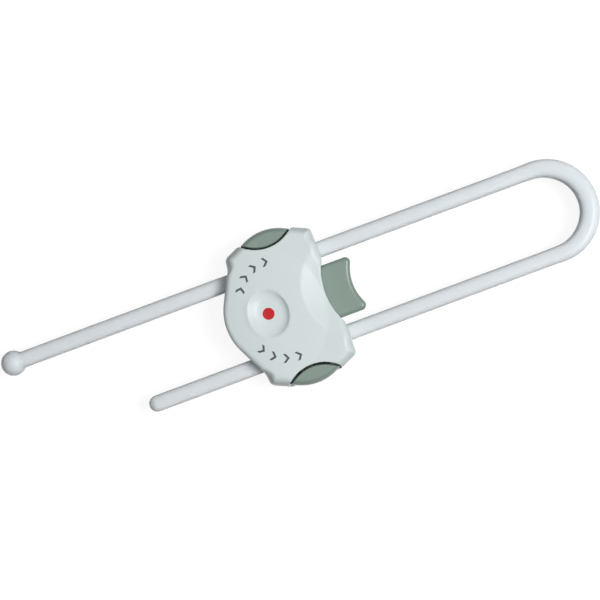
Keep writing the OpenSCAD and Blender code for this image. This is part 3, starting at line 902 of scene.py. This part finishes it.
@dataclass
class Casing:
    """The casing: its moulded front shell and its rear cover.

    Each roll of the front's edge has a width and a drop, and each span is where one roll passes into another.
    """

    bar: UBar
    front_z: float = 20.0
    crown: float = 1.0
    crown_left: float = 14.0
    crown_right: float = 21.0
    crown_side: float = 24.5
    nose_roll: Point = (1.9, 1.9)
    right_roll: Point = (2.8, 2.8)
    right_span: Point = (-6.0, 6.0)
    lobe_roll: Point = (3.4, 7.2)
    lobe_span: Point = (17.5, 21.0)
    hollow_roll: Point = (0.5, 0.5)
    hollow_span: Point = (14.0, 9.0)
    wall: float = 1.8
    ceiling_z: float = 17.0
    window_z: float = 17.8
    skin_t: float = 1.6
    seam: float = 0.15
    nose: Corner = Corner(-26.5, 0.0, 20.0)
    hollow: Corner = Corner(10.6, 0.0, 26.0)
    flank: Corner = Corner(-16.9, 19.3, 5.0)
    lobe: Corner = Corner(-16.2, 24.3, 2.5)
    shoulder: Corner = Corner(9.6, 27.3, 0.8)
    right: Corner = Corner(16.7, 24.1, 2.0)
    hollow_edge: Corner = Corner(16.7, 12.4, 1.5)
    notch_tip: Corner = Corner(10.8, 26.75, 0.5)
    notch_r: float = 13.9
    notch_depth: float = 5.0
    notch_lip: float = 0.35
    notch_lip_share: float = 0.5
    least_lip: float = 0.05
    window_half: float = 9.75
    dimple_x: float = -8.1
    dimple_reach: Point = (7.4, 8.7)
    dimple_depth: float = 1.6
    dimple_blend: float = 0.12
    dimple_fullness: float = 4.5
    dimple_lean: float = 2.5
    lip_rise: float = 0.22
    lip_share: float = 0.9
    lip_reach: float = 0.34
    scoop_x: float = 24.2
    scoop_r: float = 18.8
    scoop_slope: float = 0.2
    scoop_reach: float = 13.0
    scoop_crease: float = 0.5
    port_gap: float = 0.2
    tab_half: float = 10.4
    tab_top: float = 12.8
    spacing: float = 0.32
    least_r: float = 0.8
    wall_shares: tuple[float, ...] = (0.0, 0.2, 0.4, 0.6, 0.85)
    roll_rings: int = 13
    face_rings: int = 56
    inner_rings: int = 10
    evening_rings: int = 8

    def __post_init__(self) -> None:
        """Draws the two outlines: the casing's side, and the front face with its two button notches."""
        right, left = [self.hollow_edge, self.right], [self.lobe, self.flank]
        straight = [self.shoulder, self.shoulder.mirrored()]
        self.side = Outline(self._closed([*right, *straight, *left]), self.spacing)
        self.notch_y = self.shoulder.y - self.notch_depth + self.notch_r
        notch = self.notch_tip.bow(self.notch_y, self.notch_r, -1)
        notched = [self.notch_tip, notch, self.notch_tip.mirrored()]
        self.face = Outline(self._closed([*right, *notched, *left]), self.spacing, self.least_r)
        self.middle = np.array([self.dimple_x, 0.0])

    def _closed(self, one_side: list[Corner]) -> list[Corner]:
        """Both sides of the outline, with the nose and the hollow between them."""
        lower = [Corner(c.x, -c.y, c.r) for c in reversed(one_side)]
        return [self.hollow, *one_side, self.nose, *lower]

    def height(self, points: Array) -> Array:
        """Height of the front face.

        Args:
            points: Places in the plan.

        Returns:
            Z at each place, with the crown, rolled edge, notch lips, dimple and scoop.
        """
        x, y = points[:, 0], points[:, 1]
        reach = np.where(x < self.dimple_x, self.crown_left, self.crown_right)
        bulge = ((x - self.dimple_x) / reach) ** 2 + (y / self.crown_side) ** 2
        z = self.front_z - self.crown * np.minimum(bulge, 1.0)
        z = z + self._dimple(x, y) - self._scoop(x, y)
        z = z - rolled(self.side.depth(points), *self._roll(x, y))
        lip = np.clip(self.notch_lip_share * (z - self.window_z), self.least_lip, self.notch_lip)
        from_notch = np.hypot(x, np.abs(y) - self.notch_y) - self.notch_r
        return z - rolled(np.maximum(from_notch, 0.0), lip, lip)

    def _roll(self, x: Array, y: Array) -> Array:
        """Roll of the edge: tight at the nose and hollow, wide on the right and steep on the lobes.

        Args:
            x: Places along the legs.
            y: Places across them.

        Returns:
            A row of widths and a row of drops.
        """
        stages = (
            (self.right_roll, eased(x, self.right_span)),
            (self.lobe_roll, eased(np.abs(y), self.lobe_span)),
            (self.hollow_roll, eased(np.abs(y), self.hollow_span) * (x > 0.0)),
        )
        found = np.array(self.nose_roll)[:, None]
        for roll, share in stages:
            found = found + (np.array(roll)[:, None] - found) * share
        return found

    def _dimple(self, x: Array, y: Array) -> Array:
        """Rise of the oval dimple: a bowl, steeper on the right, with a soft rim and a low left lip.

        Args:
            x: Places along the legs.
            y: Places across them.

        Returns:
            The rise at each place, below 0 in the bowl.
        """
        across, along = (x - self.dimple_x) / self.dimple_reach[0], y / self.dimple_reach[1]
        share = np.hypot(across, along)
        to_right = across / np.maximum(share, TINY)
        fullness = self.dimple_fullness + self.dimple_lean * to_right
        bowl = lower_of(0.0, self.dimple_depth * (share**fullness - 1.0), self.dimple_blend)
        near_lip = np.clip(1.0 - ((share - self.lip_share) / self.lip_reach) ** 2, 0.0, 1.0)
        return bowl + self.lip_rise * (near_lip * np.minimum(to_right, 0.0)) ** 2

    def _scoop(self, x: Array, y: Array) -> Array:
        """Depth of the thumb scoop: steepest at its round rim and level past its reach.

        Args:
            x: Places along the legs.
            y: Places across them.

        Returns:
            The depth at each place.
        """
        inside = self.scoop_r - np.hypot(x - self.scoop_x, y)
        inside = 0.5 * (inside + np.hypot(inside, self.scoop_crease))
        inside = np.minimum(inside, self.scoop_reach)
        return self.scoop_slope * inside * (1.0 - 0.5 * inside / self.scoop_reach)

    def rim(self, points: Array, in_notch: Array) -> Array:
        """Height of the front shell's lower edge.

        Args:
            points: Places in the plan.
            in_notch: Which of them lie over a squeeze button.

        Returns:
            Z at each place: the seam, or the top of a leg port, trigger window or button window.
        """
        x, y = points[:, 0], np.abs(points[:, 1])
        port_r = self.bar.leg_r + self.port_gap
        power = self.bar.squareness
        aside = np.minimum(np.abs(y - self.bar.leg_y) / port_r, 1.0)
        z = self.bar.leg_z + port_r * (1.0 - aside**power) ** (1.0 / power)
        z = np.where((x > 0.0) & (y < self.tab_half), self.tab_top, z)
        return np.where(in_notch, np.minimum(self.window_z, self.height(points) - self.least_lip), z)

    def underside(self, points: Array) -> Array:
        """Height of the shell's ceiling, which follows the face where that is low."""
        return np.minimum(self.ceiling_z, self.height(points) - self.skin_t)

    def build(self) -> Skin:
        """Lofts the front shell from its rim over the face to the dimple, and back along the inside.

        Returns:
            The front shell's skin.
        """
        edge = self.face.ring()
        on_arc = np.hypot(edge[:, 0], np.abs(edge[:, 1]) - self.notch_y) < self.notch_r + self.notch_lip
        in_notch = on_arc & (np.abs(edge[:, 0]) < self.window_half)
        skin = Skin()
        outer = self._outside(skin, edge, in_notch, on_arc & ~in_notch)
        inner = self._inside(skin, in_notch)
        skin.bridge(inner, outer)
        return skin

    def _outside(self, skin: Skin, edge: Array, in_notch: Array, beside: Array) -> range:
        """Adds the wall and the face.

        Args:
            skin: Where they go.
            edge: Points of the face's edge.
            in_notch: Which of them lie over a squeeze button.
            beside: Which of them lie on a notch's ends, beside the button window.

        Returns:
            Numbers of the points along the rim.
        """
        rim, top = self.rim(edge, in_notch), self.height(edge)
        foot = self._seated(edge, beside)
        low = np.minimum(rim + self.seam, top)
        rings = [lifted(foot + self.face.ring(self.seam) - edge, rim)]
        for share in self.wall_shares:
            rings.append(lifted(foot + (edge - foot) * share, low + (top - low) * share))
        for inset in quarter_round(self.lobe_roll[0], self.roll_rings)[:, 0]:
            ring = self.face.ring(inset)
            rings.append(lifted(ring, self.height(ring)))
        rings += self._towards_middle(ring, self.face_rings, self.height)
        first, last = skin.loft(rings)
        skin.close(last, self.over_middle(self.height))
        return first

    def _inside(self, skin: Skin, in_notch: Array) -> range:
        """Adds the inner wall and the ceiling.

        Args:
            skin: Where they go.
            in_notch: Which points of the edge lie over a squeeze button.

        Returns:
            Numbers of the points along the rim.
        """
        inner = self.face.ring(self.wall)
        rim = self.rim(inner, in_notch)
        rings = [lifted(inner, rim), lifted(inner, np.maximum(self.underside(inner), rim))]
        rings += self._towards_middle(inner, self.inner_rings, self.underside)
        first, last = skin.loft(rings)
        skin.close(last, self.over_middle(self.underside))
        return first

    def _seated(self, edge: Array, beside: Array) -> Array:
        """The face's edge at the seam, where a notch's ends run out to the straight sides of the window.

        Args:
            edge: Points of the edge.
            beside: Which of them lie on a notch's ends, beside the window.

        Returns:
            The points at the seam.
        """
        slope = (self.right.y - self.shoulder.y) / (self.right.x - self.shoulder.x)
        left_slope = (self.lobe.y - self.shoulder.y) / (-self.lobe.x - self.shoulder.x)
        past = np.abs(edge[:, 0]) - self.shoulder.x
        side_y = self.shoulder.y + past * np.where(edge[:, 0] > 0.0, slope, left_slope)
        return np.column_stack([edge[:, 0], np.where(beside, np.sign(edge[:, 1]) * side_y, edge[:, 1])])

    def over_middle(self, heights: Heights) -> Place:
        """The middle of the dimple, at the height that a function gives there."""
        return (*self.middle, float(heights(self.middle[None, :])[0]))

    def _towards_middle(self, ring: Array, count: int, heights: Heights) -> list[Array]:
        """Draws rings that shrink from a given one towards the middle of the dimple.

        Args:
            ring: The outermost ring, which is not given back.
            count: How many steps there are to the middle.
            heights: Function of the places that gives their Z.

        Returns:
            The smaller rings, each with its heights.
        """
        rings = []
        for step in range(1, count):
            plan = softened(evened(ring, smooth(step / self.evening_rings)), step)
            plan = self.middle + (plan - self.middle) * (1.0 - step / count)
            rings.append(lifted(plan, heights(plan)))
        return rings

    def dress(self) -> None:
        """Builds the front shell and gives the whole casing its finish."""
        dressed("front_shell_moulded", self.build(), CASING_WHITE, Body.CASING, Slot.CASING, "front_shell")
        refinish("rear_cover", CASING_WHITE)


@dataclass
class CoverScrews:
    """The four screws in the rear cover: domed heads with a cross recess, on threaded shanks."""

    places: Point = (13.5, 21.6)
    head_r: float = 2.3
    head_z: Point = (0.8, 2.4)
    dome: float = 0.55
    recess_half: float = 1.3
    recess_w: float = 0.7
    recess_depth: float = 0.8
    recess_flare: float = 0.12
    tip_z: float = 13.9
    core_r: float = 0.95
    thread_r: float = 1.3
    pitch: float = 1.1
    ridge_slope: float = 1.6
    point_l: float = 1.6
    around: int = 96
    face_rings: int = 40
    rings_per_turn: int = 12

    def build(self) -> Skin:
        """Lofts each screw from the middle of its head to its point.

        Returns:
            One skin with all four screws.
        """
        circle = unit_circle(self.around)
        rings = [*self._head(circle), *self._shank(circle)]
        middle_z = self._face_z(np.zeros((1, 2)))[0]
        skin = Skin()
        for x in (-self.places[0], self.places[0]):
            for y in (-self.places[1], self.places[1]):
                first, last = skin.loft([ring + (x, y, 0.0) for ring in rings])
                skin.close(first, (x, y, middle_z))
                skin.close(last, (x, y, self.tip_z))
        return skin

    def _face_z(self, points: Array) -> Array:
        """Height of the head's face, which looks down: its dome, less the cross.

        Args:
            points: Places about the screw's axis.

        Returns:
            Z at each place.
        """
        r = np.linalg.norm(points, axis=1)
        domed = self.head_z[0] + self.dome * (r / self.head_r) ** 2
        far, near = np.abs(points).max(axis=1), np.abs(points).min(axis=1)
        arm = np.minimum(0.5 * self.recess_w - near, self.recess_half - far) / self.recess_flare
        return domed + self.recess_depth * smooth(0.5 + 0.5 * arm)

    def _head(self, circle: Array) -> list[Array]:
        """Draws the head, from its middle over its rim to the shank.

        Args:
            circle: Points of a unit circle.

        Returns:
            Its rings.
        """
        radii = self.head_r * np.arange(1, self.face_rings) / self.face_rings
        rings = [lifted(circle * r, self._face_z(circle * r)) for r in radii]
        under = self.head_z[1]
        for r, z in ((self.head_r, self.head_z[0] + self.dome), (self.head_r, under), (self.core_r, under)):
            rings.append(lifted(circle * r, z))
        return rings

    def _shank(self, circle: Array) -> list[Array]:
        """Draws the threaded shank, which narrows to a point.

        Args:
            circle: Points of a unit circle.

        Returns:
            Its rings.
        """
        turned = turn_angles(self.around) / (2.0 * math.pi)
        step = self.pitch / self.rings_per_turn
        rings = []
        for z in np.arange(self.head_z[1] + step, self.tip_z - step, step):
            phase = (z / self.pitch - turned) % 1.0
            ridge = smooth(1.0 - np.abs(2.0 * phase - 1.0) * self.ridge_slope)
            slim = min(1.0, (self.tip_z - z) / self.point_l)
            r = slim * (self.core_r + (self.thread_r - self.core_r) * ridge)
            rings.append(lifted(circle * r[:, None], z))
        return rings

    def dress(self) -> None:
        """Turns the screws and gives them their finish."""
        dressed("cover_screws_turned", self.build(), SCREW_ZINC, Body.CASING, Slot.SCREW, "cover_screws")


@dataclass
class PrintedMarks:
    """Print on the front face: a plain dot in the dimple and a row of chevrons towards each button."""

    casing: Casing
    ink_t: float = 0.03
    sink: float = 0.05
    dot_r: float = 2.2
    dot_sides: int = 64
    dot_shares: tuple[float, ...] = (0.98, 0.7, 0.4)
    count: int = 4
    chevron_half: float = 1.6
    chevron_lean: float = 1.35
    stroke: float = 1.0
    row_middle: Point = (-3.6, 5.2)
    row_r: float = 12.6
    row_angles: Point = (148.0, 84.0)
    spine_points: int = 9

    def dress(self) -> None:
        """Prints the dot and both rows of chevrons."""
        dressed("dimple_dot", self._dot(), INK_RED, Body.CASING)
        for side in Side:
            dressed(f"{side.word}_chevrons", self._row(side), INK_GREY, Body.CASING)

    def _dot(self) -> Skin:
        """Draws a round film of ink on the dimple's floor.

        Returns:
            The dot's skin.
        """
        circle = unit_circle(self.dot_sides) * self.dot_r
        edge = self.casing.middle + circle
        rings = [lifted(edge, self.casing.height(edge) - self.sink)]
        for share in self.dot_shares:
            plan = self.casing.middle + circle * share
            rings.append(lifted(plan, self.casing.height(plan) + self.ink_t))
        skin = Skin()
        first, last = skin.loft(rings)
        x, y, z = self.casing.over_middle(self.casing.height)
        skin.close(last, (x, y, z + self.ink_t))
        skin.close(first, (x, y, z - self.sink))
        return skin

    def _row(self, side: Side) -> Skin:
        """Draws chevrons along an arc round the dimple that point at one squeeze button.

        Args:
            side: Which button.

        Returns:
            The row's skin.
        """
        skin = Skin()
        wings = np.linspace(-1.0, 1.0, self.spine_points)[:, None]
        for angle in np.radians(np.linspace(*self.row_angles, self.count)):
            out = np.array([math.cos(angle), side.value * math.sin(angle)])
            ahead = np.array([math.sin(angle), -side.value * math.cos(angle)])
            centre = np.array(self.row_middle) * (1.0, side.value) + self.row_r * out
            spine = centre + wings * self.chevron_half * out - np.abs(wings) * self.chevron_lean * ahead
            front = spine + 0.5 * self.stroke * ahead
            back = spine - 0.5 * self.stroke * ahead
            self._film(skin, np.vstack([front, back[::-1]]))
        return skin

    def _film(self, skin: Skin, plan: Array) -> None:
        """Adds a thin closed film.

        Args:
            skin: Where it goes.
            plan: A strip: there along one edge and back along the other.
        """
        half = len(plan) // 2
        face = self.casing.height(plan)
        top = skin.add(lifted(plan, face + self.ink_t))
        foot = skin.add(lifted(plan, face - self.sink))
        skin.bridge(foot, top)
        for i in range(half - 1):
            j = 2 * half - 1 - i
            skin.faces += [(level[i], level[i + 1], level[j - 1], level[j]) for level in (top, foot)]


@dataclass
class SqueezeButton:
    """A grey squeeze button: a bowed block on a flange, with a lens-shaped pad in the front face."""

    side: Side
    casing: Casing
    half_w: float = 9.45
    back_y: float = 23.1
    end_y: float = 26.4
    face_y: float = 29.2
    low_z: float = 2.6
    shelf_z: float = 12.5
    top_z: float = 17.5
    edge_r: float = 1.2
    edge_rings: int = 9
    end_r: float = 0.9
    end_lift: float = 0.1
    back_r: float = 0.3
    pad_gap: float = 0.4
    pad_rolls: Point = (1.9, 0.7)
    pad_drop: float = 3.6
    pad_sharpness: float = 3.0
    pad_rings: int = 32
    pad_crowding: float = 1.8
    pad_tip: Corner = Corner(9.6, 26.45, 0.35)
    flange_half: float = 10.9
    lip_from: float = 8.6
    flange_t: float = 0.9
    flange_z: Point = (4.8, 16.7)
    spacing: float = 0.3

    def build(self) -> Skin:
        """Lofts the block and its pad and adds the flange.

        Returns:
            The button's skin.
        """
        rise = self.face_y - self.end_y
        bow_r = (self.half_w**2 + rise**2) / (2.0 * rise)
        bow = (self.face_y - bow_r, bow_r)
        skin = Skin()
        self._block(skin, bow)
        self._pad(skin, bow)
        back, front = self.back_y, self.back_y + self.flange_t
        low, high = self.flange_z
        skin.box((-self.flange_half, back, low), (self.flange_half, front, self.shelf_z))
        for ends in ((-self.flange_half, -self.lip_from), (self.lip_from, self.flange_half)):
            skin.box((ends[0], back, self.shelf_z), (ends[1], front, high))
        skin.points = [points * (1.0, self.side.value, 1.0) for points in skin.points]
        return skin

    def _block(self, skin: Skin, bow: Point) -> None:
        """Adds the block below the pad, rounded along its lower edge.

        Args:
            skin: Where it goes.
            bow: Place of the outer arc's centre on the Y axis, and its radius.
        """
        end = Corner(self.half_w, self.end_y + self.end_lift, self.end_r)
        back = Corner(self.half_w, self.back_y, self.back_r)
        corners = [back, end, end.bow(*bow, 1), end.mirrored(), back.mirrored()]
        plan = Outline(corners, self.spacing)
        rounded = quarter_round(self.edge_r, self.edge_rings)[::-1]
        rings = [lifted(plan.ring(inset), self.low_z + drop) for inset, drop in rounded]
        rings.append(lifted(plan.ring(), self.shelf_z))
        first, last = skin.loft(rings)
        middle = np.array([0.0, 0.5 * (self.back_y + self.face_y)])
        skin.level_face(first, plan.ring(self.edge_r), self.low_z, middle)
        skin.level_face(last, plan.ring(), self.shelf_z, middle)

    def _pad(self, skin: Skin, bow: Point) -> None:
        """Adds the domed lens between the bowed outside and an arc that follows the casing's notch.

        Args:
            skin: Where it goes.
            bow: Place of the outer arc's centre on the Y axis, and its radius.
        """
        tip = self.pad_tip
        notch = (self.casing.notch_y, self.casing.notch_r - self.pad_gap)
        corners = [tip, tip.bow(*bow, 1), tip.mirrored(), tip.bow(*notch, -1)]
        plan = Outline(corners, self.spacing).ring()
        middle = np.array([0.0, tip.y])
        rings = [lifted(plan, self.shelf_z)]
        for share in np.linspace(0.0, 1.0, self.pad_rings)[:-1] ** self.pad_crowding:
            ring = middle + (plan - middle) * (1.0 - share)
            rings.append(lifted(ring, self._pad_z(ring, (bow, notch))))
        first, last = skin.loft(rings)
        skin.level_face(first, plan, self.shelf_z, middle)
        skin.close(last, (*middle, float(self._pad_z(middle[None, :], (bow, notch))[0])))

    def _pad_z(self, points: Array, arcs: Sequence[Point]) -> Array:
        """Height of the pad, which rolls over towards its outer and its inner arc.

        Args:
            points: Places in the plan.
            arcs: Place of each arc's centre on the Y axis, and its radius.

        Returns:
            Z at each place.
        """
        drop = 0.0
        for (centre_y, r), width in zip(arcs, self.pad_rolls):
            depth = np.maximum(r - np.hypot(points[:, 0], points[:, 1] - centre_y), 0.0)
            drop = drop + rolled(depth, width, self.pad_drop) ** self.pad_sharpness
        return self.top_z - drop ** (1.0 / self.pad_sharpness)

    def dress(self) -> None:
        """Builds the button and gives it its finish."""
        body = Body.LONG_SQUEEZE if self.side is Side.LONG else Body.SHORT_SQUEEZE
        name = f"{self.side.word}_button"
        dressed(f"{name}_moulded", self.build(), GRIP_GREY, body, Slot.GRIP, name)


@dataclass
class ThumbTrigger:
    """The grey trigger: a plate with two cam slots in the casing, and a tab with a hollow thumb end."""

    plate_z: Point = (9.0, 12.5)
    plate_half: float = 11.2
    tail: Point = (-14.6, 9.4)
    taper_x: float = -9.2
    shoulder_x: float = 13.42
    spring_slot: Point = (-3.9, 2.1)
    pin: Point = (-11.7, 6.6)
    pull: Point = (4.5, -1.5)
    slot_r: float = 1.35
    slot_steps: int = 12
    peg_r: float = 0.9
    peg_l: float = 1.2
    peg_sides: int = 24
    tab_z: Point = (5.2, 12.5)
    tab_half: float = 10.1
    root_x: float = 11.6
    root_r: float = 1.5
    end_x: float = 27.0
    corner_r: float = 1.8
    thumb_r: float = 17.0
    thumb_depth: float = 4.2
    edge_r: float = 1.5
    edge_rings: int = 11
    spacing: float = 0.35

    def build(self) -> Skin:
        """Makes the plate, the tab and the spring's peg.

        Returns:
            The trigger's skin.
        """
        skin = Skin()
        skin.plate([self._plate_outline(), *self._cam_slots()], *self.plate_z)
        self._tab(skin)
        self._peg(skin)
        return skin

    def _plate_outline(self) -> Array:
        """Draws the plate, with the spring's slot in its tail.

        Returns:
            Its outline.
        """
        tail_x, tail_half = self.tail
        slot_x, slot_half = self.spring_slot
        upper = [
            (slot_x, slot_half),
            (tail_x, slot_half),
            (tail_x, tail_half),
            (self.taper_x, self.plate_half),
            (self.shoulder_x, self.plate_half),
        ]
        return np.array([(x, -y) for x, y in upper] + upper[::-1])

    def _cam_slots(self) -> list[Array]:
        """Draws the two slanting slots that draw the bolts.

        Returns:
            Their outlines.
        """
        a = math.degrees(math.atan2(self.pull[1], self.pull[0]))
        far = (self.pin[0] + self.pull[0], self.pin[1] + self.pull[1])
        slot = np.vstack([
            arc_points(far, self.slot_r, a - 90.0, a + 90.0, self.slot_steps),
            arc_points(self.pin, self.slot_r, a + 90.0, a + 270.0, self.slot_steps),
        ])
        return [slot, (slot * (1.0, -1.0))[::-1]]

    def _tab(self, skin: Skin) -> None:
        """Adds the tab: its outline with a hollow end, lofted between rounded lower and upper edges.

        Args:
            skin: Where it goes.
        """
        corners = [
            Corner(self.root_x, self.tab_half, self.root_r),
            Corner(self.root_x, -self.tab_half, self.root_r),
            Corner(self.end_x, -self.tab_half, self.corner_r),
            Corner(self.end_x - self.thumb_depth, 0.0, self.thumb_r),
            Corner(self.end_x, self.tab_half, self.corner_r),
        ]
        plan = Outline(corners, self.spacing)
        low, high = self.tab_z
        rounded = quarter_round(self.edge_r, self.edge_rings)
        lower = [lifted(plan.ring(inset), low + drop) for inset, drop in rounded[::-1]]
        upper = [lifted(plan.ring(inset), high - drop) for inset, drop in rounded]
        first, last = skin.loft([*lower, *upper])
        middle = np.array([0.5 * (self.root_x + self.end_x - self.thumb_depth), 0.0])
        inner = plan.ring(self.edge_r)
        for ring, z in ((first, low), (last, high)):
            skin.level_face(ring, inner, z, middle)

    def _peg(self, skin: Skin) -> None:
        """Adds the peg that the spring sits on.

        Args:
            skin: Where it goes.
        """
        circle = unit_circle(self.peg_sides) * self.peg_r + (0.0, 0.5 * sum(self.plate_z))
        slot_x = self.spring_slot[0]
        ends = (slot_x - self.peg_l, slot_x + self.peg_l)
        skin.cap(*skin.loft([np.column_stack([np.full(len(circle), x), circle]) for x in ends]))

    def dress(self) -> None:
        """Builds the trigger and gives it its finish."""
        dressed("thumb_trigger_moulded", self.build(), GRIP_GREY, Body.TRIGGER, Slot.GRIP, "thumb_trigger")


@dataclass
class CoilSpring:
    """A coil spring inside the casing, which shortens as the piece that it pushes is pressed."""

    node: str
    joint: str
    seat: Place
    along: Place
    length: float
    outer_d: float
    curls: int
    press: float
    wire_d: float = 0.6
    curl_rings: int = 28
    sides: int = 10

    def build(self) -> Skin:
        """Sweeps the wire along its helix, with both ends straight.

        Returns:
            The spring's skin.
        """
        axis = np.array(self.along)
        up = np.array([0.0, 0.0, 1.0])
        aside = np.cross(axis, up)
        r = 0.5 * (self.outer_d - self.wire_d)
        count = self.curls * self.curl_rings
        turn = 2.0 * math.pi * np.arange(count + 1) / self.curl_rings
        rise = self.wire_d + (self.length - 2.0 * self.wire_d) * np.arange(count + 1) / count
        turn = np.concatenate([[0.0], turn, [turn[-1]]])
        rise = np.concatenate([[0.0], rise, [self.length]])
        radial = np.cos(turn)[:, None] * up + np.sin(turn)[:, None] * aside
        path = np.array(self.seat) + radial * r + rise[:, None] * axis
        way = np.gradient(path, axis=0)
        way /= np.linalg.norm(way, axis=1)[:, None]
        cos, sin = unit_circle(self.sides).T[:, :, None]
        rings = []
        for centre, normal, ahead in zip(path, radial, way):
            rings.append(centre + 0.5 * self.wire_d * (cos * normal + sin * np.cross(ahead, normal)))
        skin = Skin()
        skin.cap(*skin.loft(rings))
        return skin

    def dress(self) -> None:
        """Builds the spring, gives it its finish and a mesh of its own."""
        name = f"{self.node}_wound"
        made = dressed(name, self.build(), SPRING_STEEL, Body.CASING, Slot.SPRING, self.node)
        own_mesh(made)


@dataclass
class Works:
    """What the casing hides: the two latches and bolts, and the three springs."""

    slides: tuple[str, ...] = ("long_leg_latch", "short_leg_latch", "long_leg_bolt", "short_leg_bolt")

    def dress(self) -> None:
        """Gives the slides their finish and winds the springs."""
        for node in self.slides:
            refinish(node, SLIDE_IVORY)
        for spring in self._springs():
            spring.dress()

    @staticmethod
    def _springs() -> list[CoilSpring]:
        """Lists the springs: one behind each latch, and one behind the trigger.

        Returns:
            The springs, ready to be wound.
        """
        springs = [
            CoilSpring(
                node=f"{side.word}_latch_spring", joint=f"{side.word}_button_press",
                seat=(0.0, side.value * 2.0, 5.25), along=(0.0, float(side.value), 0.0),
                length=7.7, outer_d=4.0, curls=4, press=2.0,
            )
            for side in Side
        ]
        springs.append(CoilSpring(
            node="trigger_spring", joint="trigger_press",
            seat=(-20.16, 0.0, 10.75), along=(1.0, 0.0, 0.0),
            length=16.16, outer_d=3.6, curls=8, press=4.5,
        ))
        return springs


@dataclass(frozen=True)
class SoftLight:
    """A square soft light that faces the lock, with its power in watts."""

    name: str
    place: Place
    size: float
    power: float

    def shine(self) -> None:
        """Puts the light in the scene."""
        data = bpy.data.lights.new(self.name, "AREA")
        data.size, data.energy = self.size * MM, self.power
        light = bpy.data.objects.new(self.name, data)
        bpy.context.scene.collection.objects.link(light)
        light.location = Vector(self.place) * MM
        light.rotation_euler = (-Vector(self.place)).to_track_quat("-Z", "Y").to_euler()


@dataclass
class Studio:
    """Pale floor, soft lights and a camera that looks down at the front face. Angles are degrees."""

    frame_w: float = 218.2
    aim: Place = (4.17, 1.2, 9.0)
    roll: float = -20.4
    tilt: float = 3.0
    lens: float = 100.0
    sensor: float = 36.0
    floor_half: float = 3000.0
    floor_gap: float = 0.05
    floor_colour: Colour = (0.16, 0.16, 0.16)
    glow: float = 0.9
    key: SoftLight = SoftLight("key_light", (550.0, -200.0, 1060.0), 500.0, 11.3)
    fill: SoftLight = SoftLight("fill_light", (0.0, 150.0, 1300.0), 1100.0, 2.4)
    dimness: float = 0.12

    def dress(self) -> None:
        """Sets the camera, the floor, the lights and the world."""
        scene = bpy.context.scene
        scene.view_settings.view_transform = "Standard"
        self._camera(scene)
        self._floor(scene)
        self.key.shine()
        self.fill.shine()
        self._world(scene)

    def _camera(self, scene: bpy.types.Scene) -> None:
        """Puts the camera where the photo's view needs it.

        Args:
            scene: The scene that it serves.
        """
        data = bpy.data.cameras.new("camera")
        data.lens, data.sensor_width = self.lens, self.sensor
        camera = bpy.data.objects.new("camera", data)
        scene.collection.objects.link(camera)
        away = self.frame_w * self.lens / self.sensor
        tilt = Matrix.Rotation(math.radians(self.tilt), 4, "X")
        roll = Matrix.Rotation(math.radians(self.roll), 4, "Z")
        aim = Matrix.Translation(Vector(self.aim) * MM)
        camera.matrix_world = aim @ tilt @ roll @ Matrix.Translation((0.0, 0.0, away * MM))
        scene.camera = camera

    def _floor(self, scene: bpy.types.Scene) -> None:
        """Lays a level floor just under the lock.

        Args:
            scene: The scene that it goes in.
        """
        half = self.floor_half * MM
        low = cad_box[0].z - self.floor_gap * MM
        corners = [(-half, -half, low), (half, -half, low), (half, half, low), (-half, half, low)]
        mesh = bpy.data.meshes.new("floor")
        mesh.from_pydata(corners, [], [range(len(corners))])
        floor = bpy.data.objects.new("floor", mesh)
        scene.collection.objects.link(floor)
        mesh.materials.append(self._floor_material())

    def _floor_material(self) -> bpy.types.Material:
        """Makes the floor white to the camera and in reflections, and plain grey as a source of light.

        Returns:
            The new material, on which the lock's shadow shows.
        """
        made = bpy.data.materials.new("floor")
        made.use_nodes = True
        wiring = Wiring(made.node_tree)
        nodes = made.node_tree.nodes
        nodes.remove(nodes["Principled BSDF"])
        matt = wiring.node("ShaderNodeBsdfDiffuse", Color=(*self.floor_colour, 1.0)).outputs[0]
        glow = wiring.node("ShaderNodeEmission", Strength=self.glow).outputs[0]
        both = wiring.joined("ShaderNodeAddShader", matt, glow)
        mixed = wiring.joined("ShaderNodeMixShader", self._seen(wiring), matt, both)
        wiring.feed(nodes["Material Output"], {"Surface": mixed})
        return made

    @staticmethod
    def _seen(wiring: Wiring) -> Socket:
        """Adds a mask that is 1 for what the camera sees, straight, in a reflection or through glass.

        Args:
            wiring: Tree to work on.

        Returns:
            The mask.
        """
        path = wiring.node("ShaderNodeLightPath").outputs
        seen = path["Is Camera Ray"]
        for ray in ("Is Glossy Ray", "Is Transmission Ray"):
            seen = wiring.joined("ShaderNodeMath", seen, path[ray], operation="MAXIMUM")
        return seen

    def _world(self, scene: bpy.types.Scene) -> None:
        """Makes a dim even world that the camera sees as white.

        Args:
            scene: The scene that it lights.
        """
        world = bpy.data.worlds.new("studio")
        world.use_nodes = True
        wiring = Wiring(world.node_tree)
        nodes = world.node_tree.nodes
        dim = nodes["Background"]
        wiring.feed(dim, {"Color": WHITE, "Strength": self.dimness})
        white = wiring.node("ShaderNodeBackground", Color=WHITE, Strength=1.0)
        mixed = wiring.joined(
            "ShaderNodeMixShader", self._seen(wiring), dim.outputs[0], white.outputs[0]
        )
        wiring.feed(nodes["World Output"], {"Surface": mixed})
        scene.world = world


def main() -> None:
    """Builds and dresses the lock and its studio."""
    logging.basicConfig(level=logging.INFO)
    Studio().dress()
    bar = UBar()
    casing = Casing(bar)
    casing.dress()
    CoverScrews().dress()
    PrintedMarks(casing).dress()
    bar.dress()
    for side in Side:
        SqueezeButton(side, casing).dress()
    ThumbTrigger().dress()
    Works().dress()


if __name__ == "__main__":
    main()
